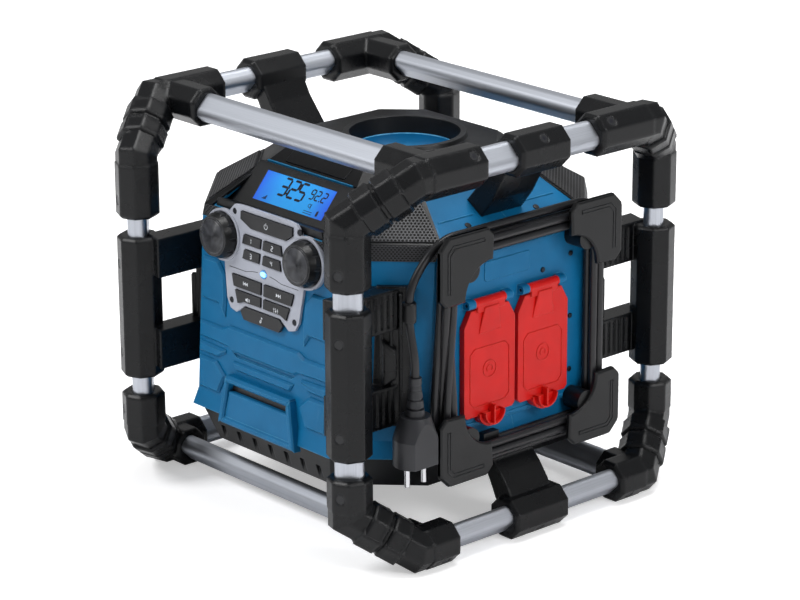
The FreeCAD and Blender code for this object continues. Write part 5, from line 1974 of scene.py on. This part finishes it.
@dataclass
class Studio:
    """Pale floor, soft lamps and a plain world that shows white behind."""

    floor_half: float = 12.0
    paper: Colour = colour_of(243, 243, 244)
    world_light: float = 0.34
    floor_light: float = 0.42
    aim: Vec = (0.0, 0.0, 0.15)

    def build(self) -> None:
        """Make the floor, the world and the lamps."""
        self.floor()
        self.world()
        self.lamp("key_lamp", (-1.2, -2.6, 3.2), 1.6, 100.0)
        self.lamp("side_lamp", (3.4, 0.4, 2.2), 1.3, 55.0)
        self.lamp("top_lamp", (0.2, 0.8, 3.4), 1.6, 75.0)

    def floor(self) -> None:
        """Lay a flat floor that camera rays see as white paper."""
        u = np.array([-1.0, 1.0, 1.0, -1.0]) * self.floor_half
        v = np.array([-1.0, -1.0, 1.0, 1.0]) * self.floor_half
        points = np.column_stack([u, v, np.zeros(4)])
        piece = mesh_piece("floor", points, [[0, 1, 2, 3]])
        material = bpy.data.materials.new("Pale floor")
        material.use_nodes = True
        tree = material.node_tree
        shader = next(n for n in tree.nodes if n.type == "BSDF_PRINCIPLED")
        shader.inputs["Base Color"].default_value = (*self.paper, 1.0)
        shader.inputs["Roughness"].default_value = 0.9
        shader.inputs["Specular IOR Level"].default_value = 0.0
        shader.inputs["Emission Color"].default_value = (1.0, 1.0, 1.0, 1.0)
        path = tree.nodes.new("ShaderNodeLightPath")
        scale = tree.nodes.new("ShaderNodeMath")
        scale.operation = "MULTIPLY"
        scale.inputs[1].default_value = self.floor_light
        tree.links.new(path.outputs["Is Camera Ray"], scale.inputs[0])
        tree.links.new(scale.outputs[0], shader.inputs["Emission Strength"])
        piece.data.materials.append(material)

    def world(self) -> None:
        """Light the room evenly, and show white where the camera or a gloss looks."""
        world = bpy.data.worlds.new("Studio")
        world.use_nodes = True
        tree = world.node_tree
        ground = next(n for n in tree.nodes if n.type == "BACKGROUND")
        path = tree.nodes.new("ShaderNodeLightPath")
        level = tree.nodes.new("ShaderNodeMapRange")
        tree.links.new(path.outputs["Is Camera Ray"], level.inputs[0])
        level.inputs[3].default_value = self.world_light
        level.inputs[4].default_value = 1.0
        tree.links.new(level.outputs[0], ground.inputs["Strength"])
        ground.inputs["Color"].default_value = (1.0, 1.0, 1.0, 1.0)
        bpy.context.scene.world = world

    def lamp(self, name: str, at: Vec, size: float, power: float) -> None:
        """Hang a square lamp that faces the middle of the radio.

        Args:
            name: the lamp's name.
            at: where it hangs.
            size: its side.
            power: its power in watts.
        """
        light = bpy.data.lights.new(name, "AREA")
        light.size = size
        light.energy = power
        piece = bpy.data.objects.new(name, light)
        bpy.context.scene.collection.objects.link(piece)
        away = np.array(at) - np.array(self.aim)
        flat = math.hypot(away[0], away[1])
        piece.location = at
        piece.rotation_euler = (math.atan2(flat, away[2]), 0.0,
                                math.atan2(away[1], away[0]) + math.pi / 2)


@dataclass
class PhotoCamera:
    """The camera that gives the photograph's view."""

    at: Vec = (2.0461, -1.8199, 1.08625)
    turn: float = math.radians(48.3)
    rise: float = math.radians(18.5)
    roll: float = math.radians(-0.24)
    lens: float = 143.28

    def build(self) -> None:
        """Make the camera and set it as the scene's own."""
        data = bpy.data.cameras.new("photo_camera")
        data.lens = self.lens
        data.sensor_width = 36.0
        data.clip_start = 0.05
        data.clip_end = 60.0
        camera = bpy.data.objects.new("photo_camera", data)
        bpy.context.scene.collection.objects.link(camera)
        camera.location = self.at
        camera.rotation_mode = "XYZ"
        camera.rotation_euler = (math.pi / 2 - self.rise, 0.0, self.turn)
        bpy.context.view_layer.update()
        spin = camera.matrix_world.to_3x3() @ Matrix.Rotation(self.roll, 3, "Z")
        camera.rotation_euler = spin.to_euler("XYZ")
        bpy.context.scene.camera = camera


def main() -> None:
    """Build every sub-assembly on the frame, in order, and report each one."""
    logging.basicConfig(level=logging.INFO, format="%(name)s %(message)s")
    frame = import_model()
    bpy.context.scene.view_settings.view_transform = "Standard"
    shelf = FinishShelf()
    shelf.dress_nodes(frame["nodes"])
    LOG.info("dressed %d nodes", len(frame["nodes"]))
    lids = [kind(side) for side in ("left", "right") for kind in (LidRelief, LidFurniture)]
    for part in (WoundCord(), DisplayFace(), KeySigns(), *lids, FrontRelief(), CornerCollars(),
                 HookPlates(), PlateRelief(), BowlLining(), HoodTrim(), BrowTrim(), LampGlow(),
                 SlopeDetails(), ScrewDrives(), MountSpines(), CordClip(), PanelGrooveShade()):
        part.build(shelf)
        LOG.info("built %s", type(part).__name__)
    Studio().build()
    PhotoCamera().build()


if __name__ == "__main__":
    main()
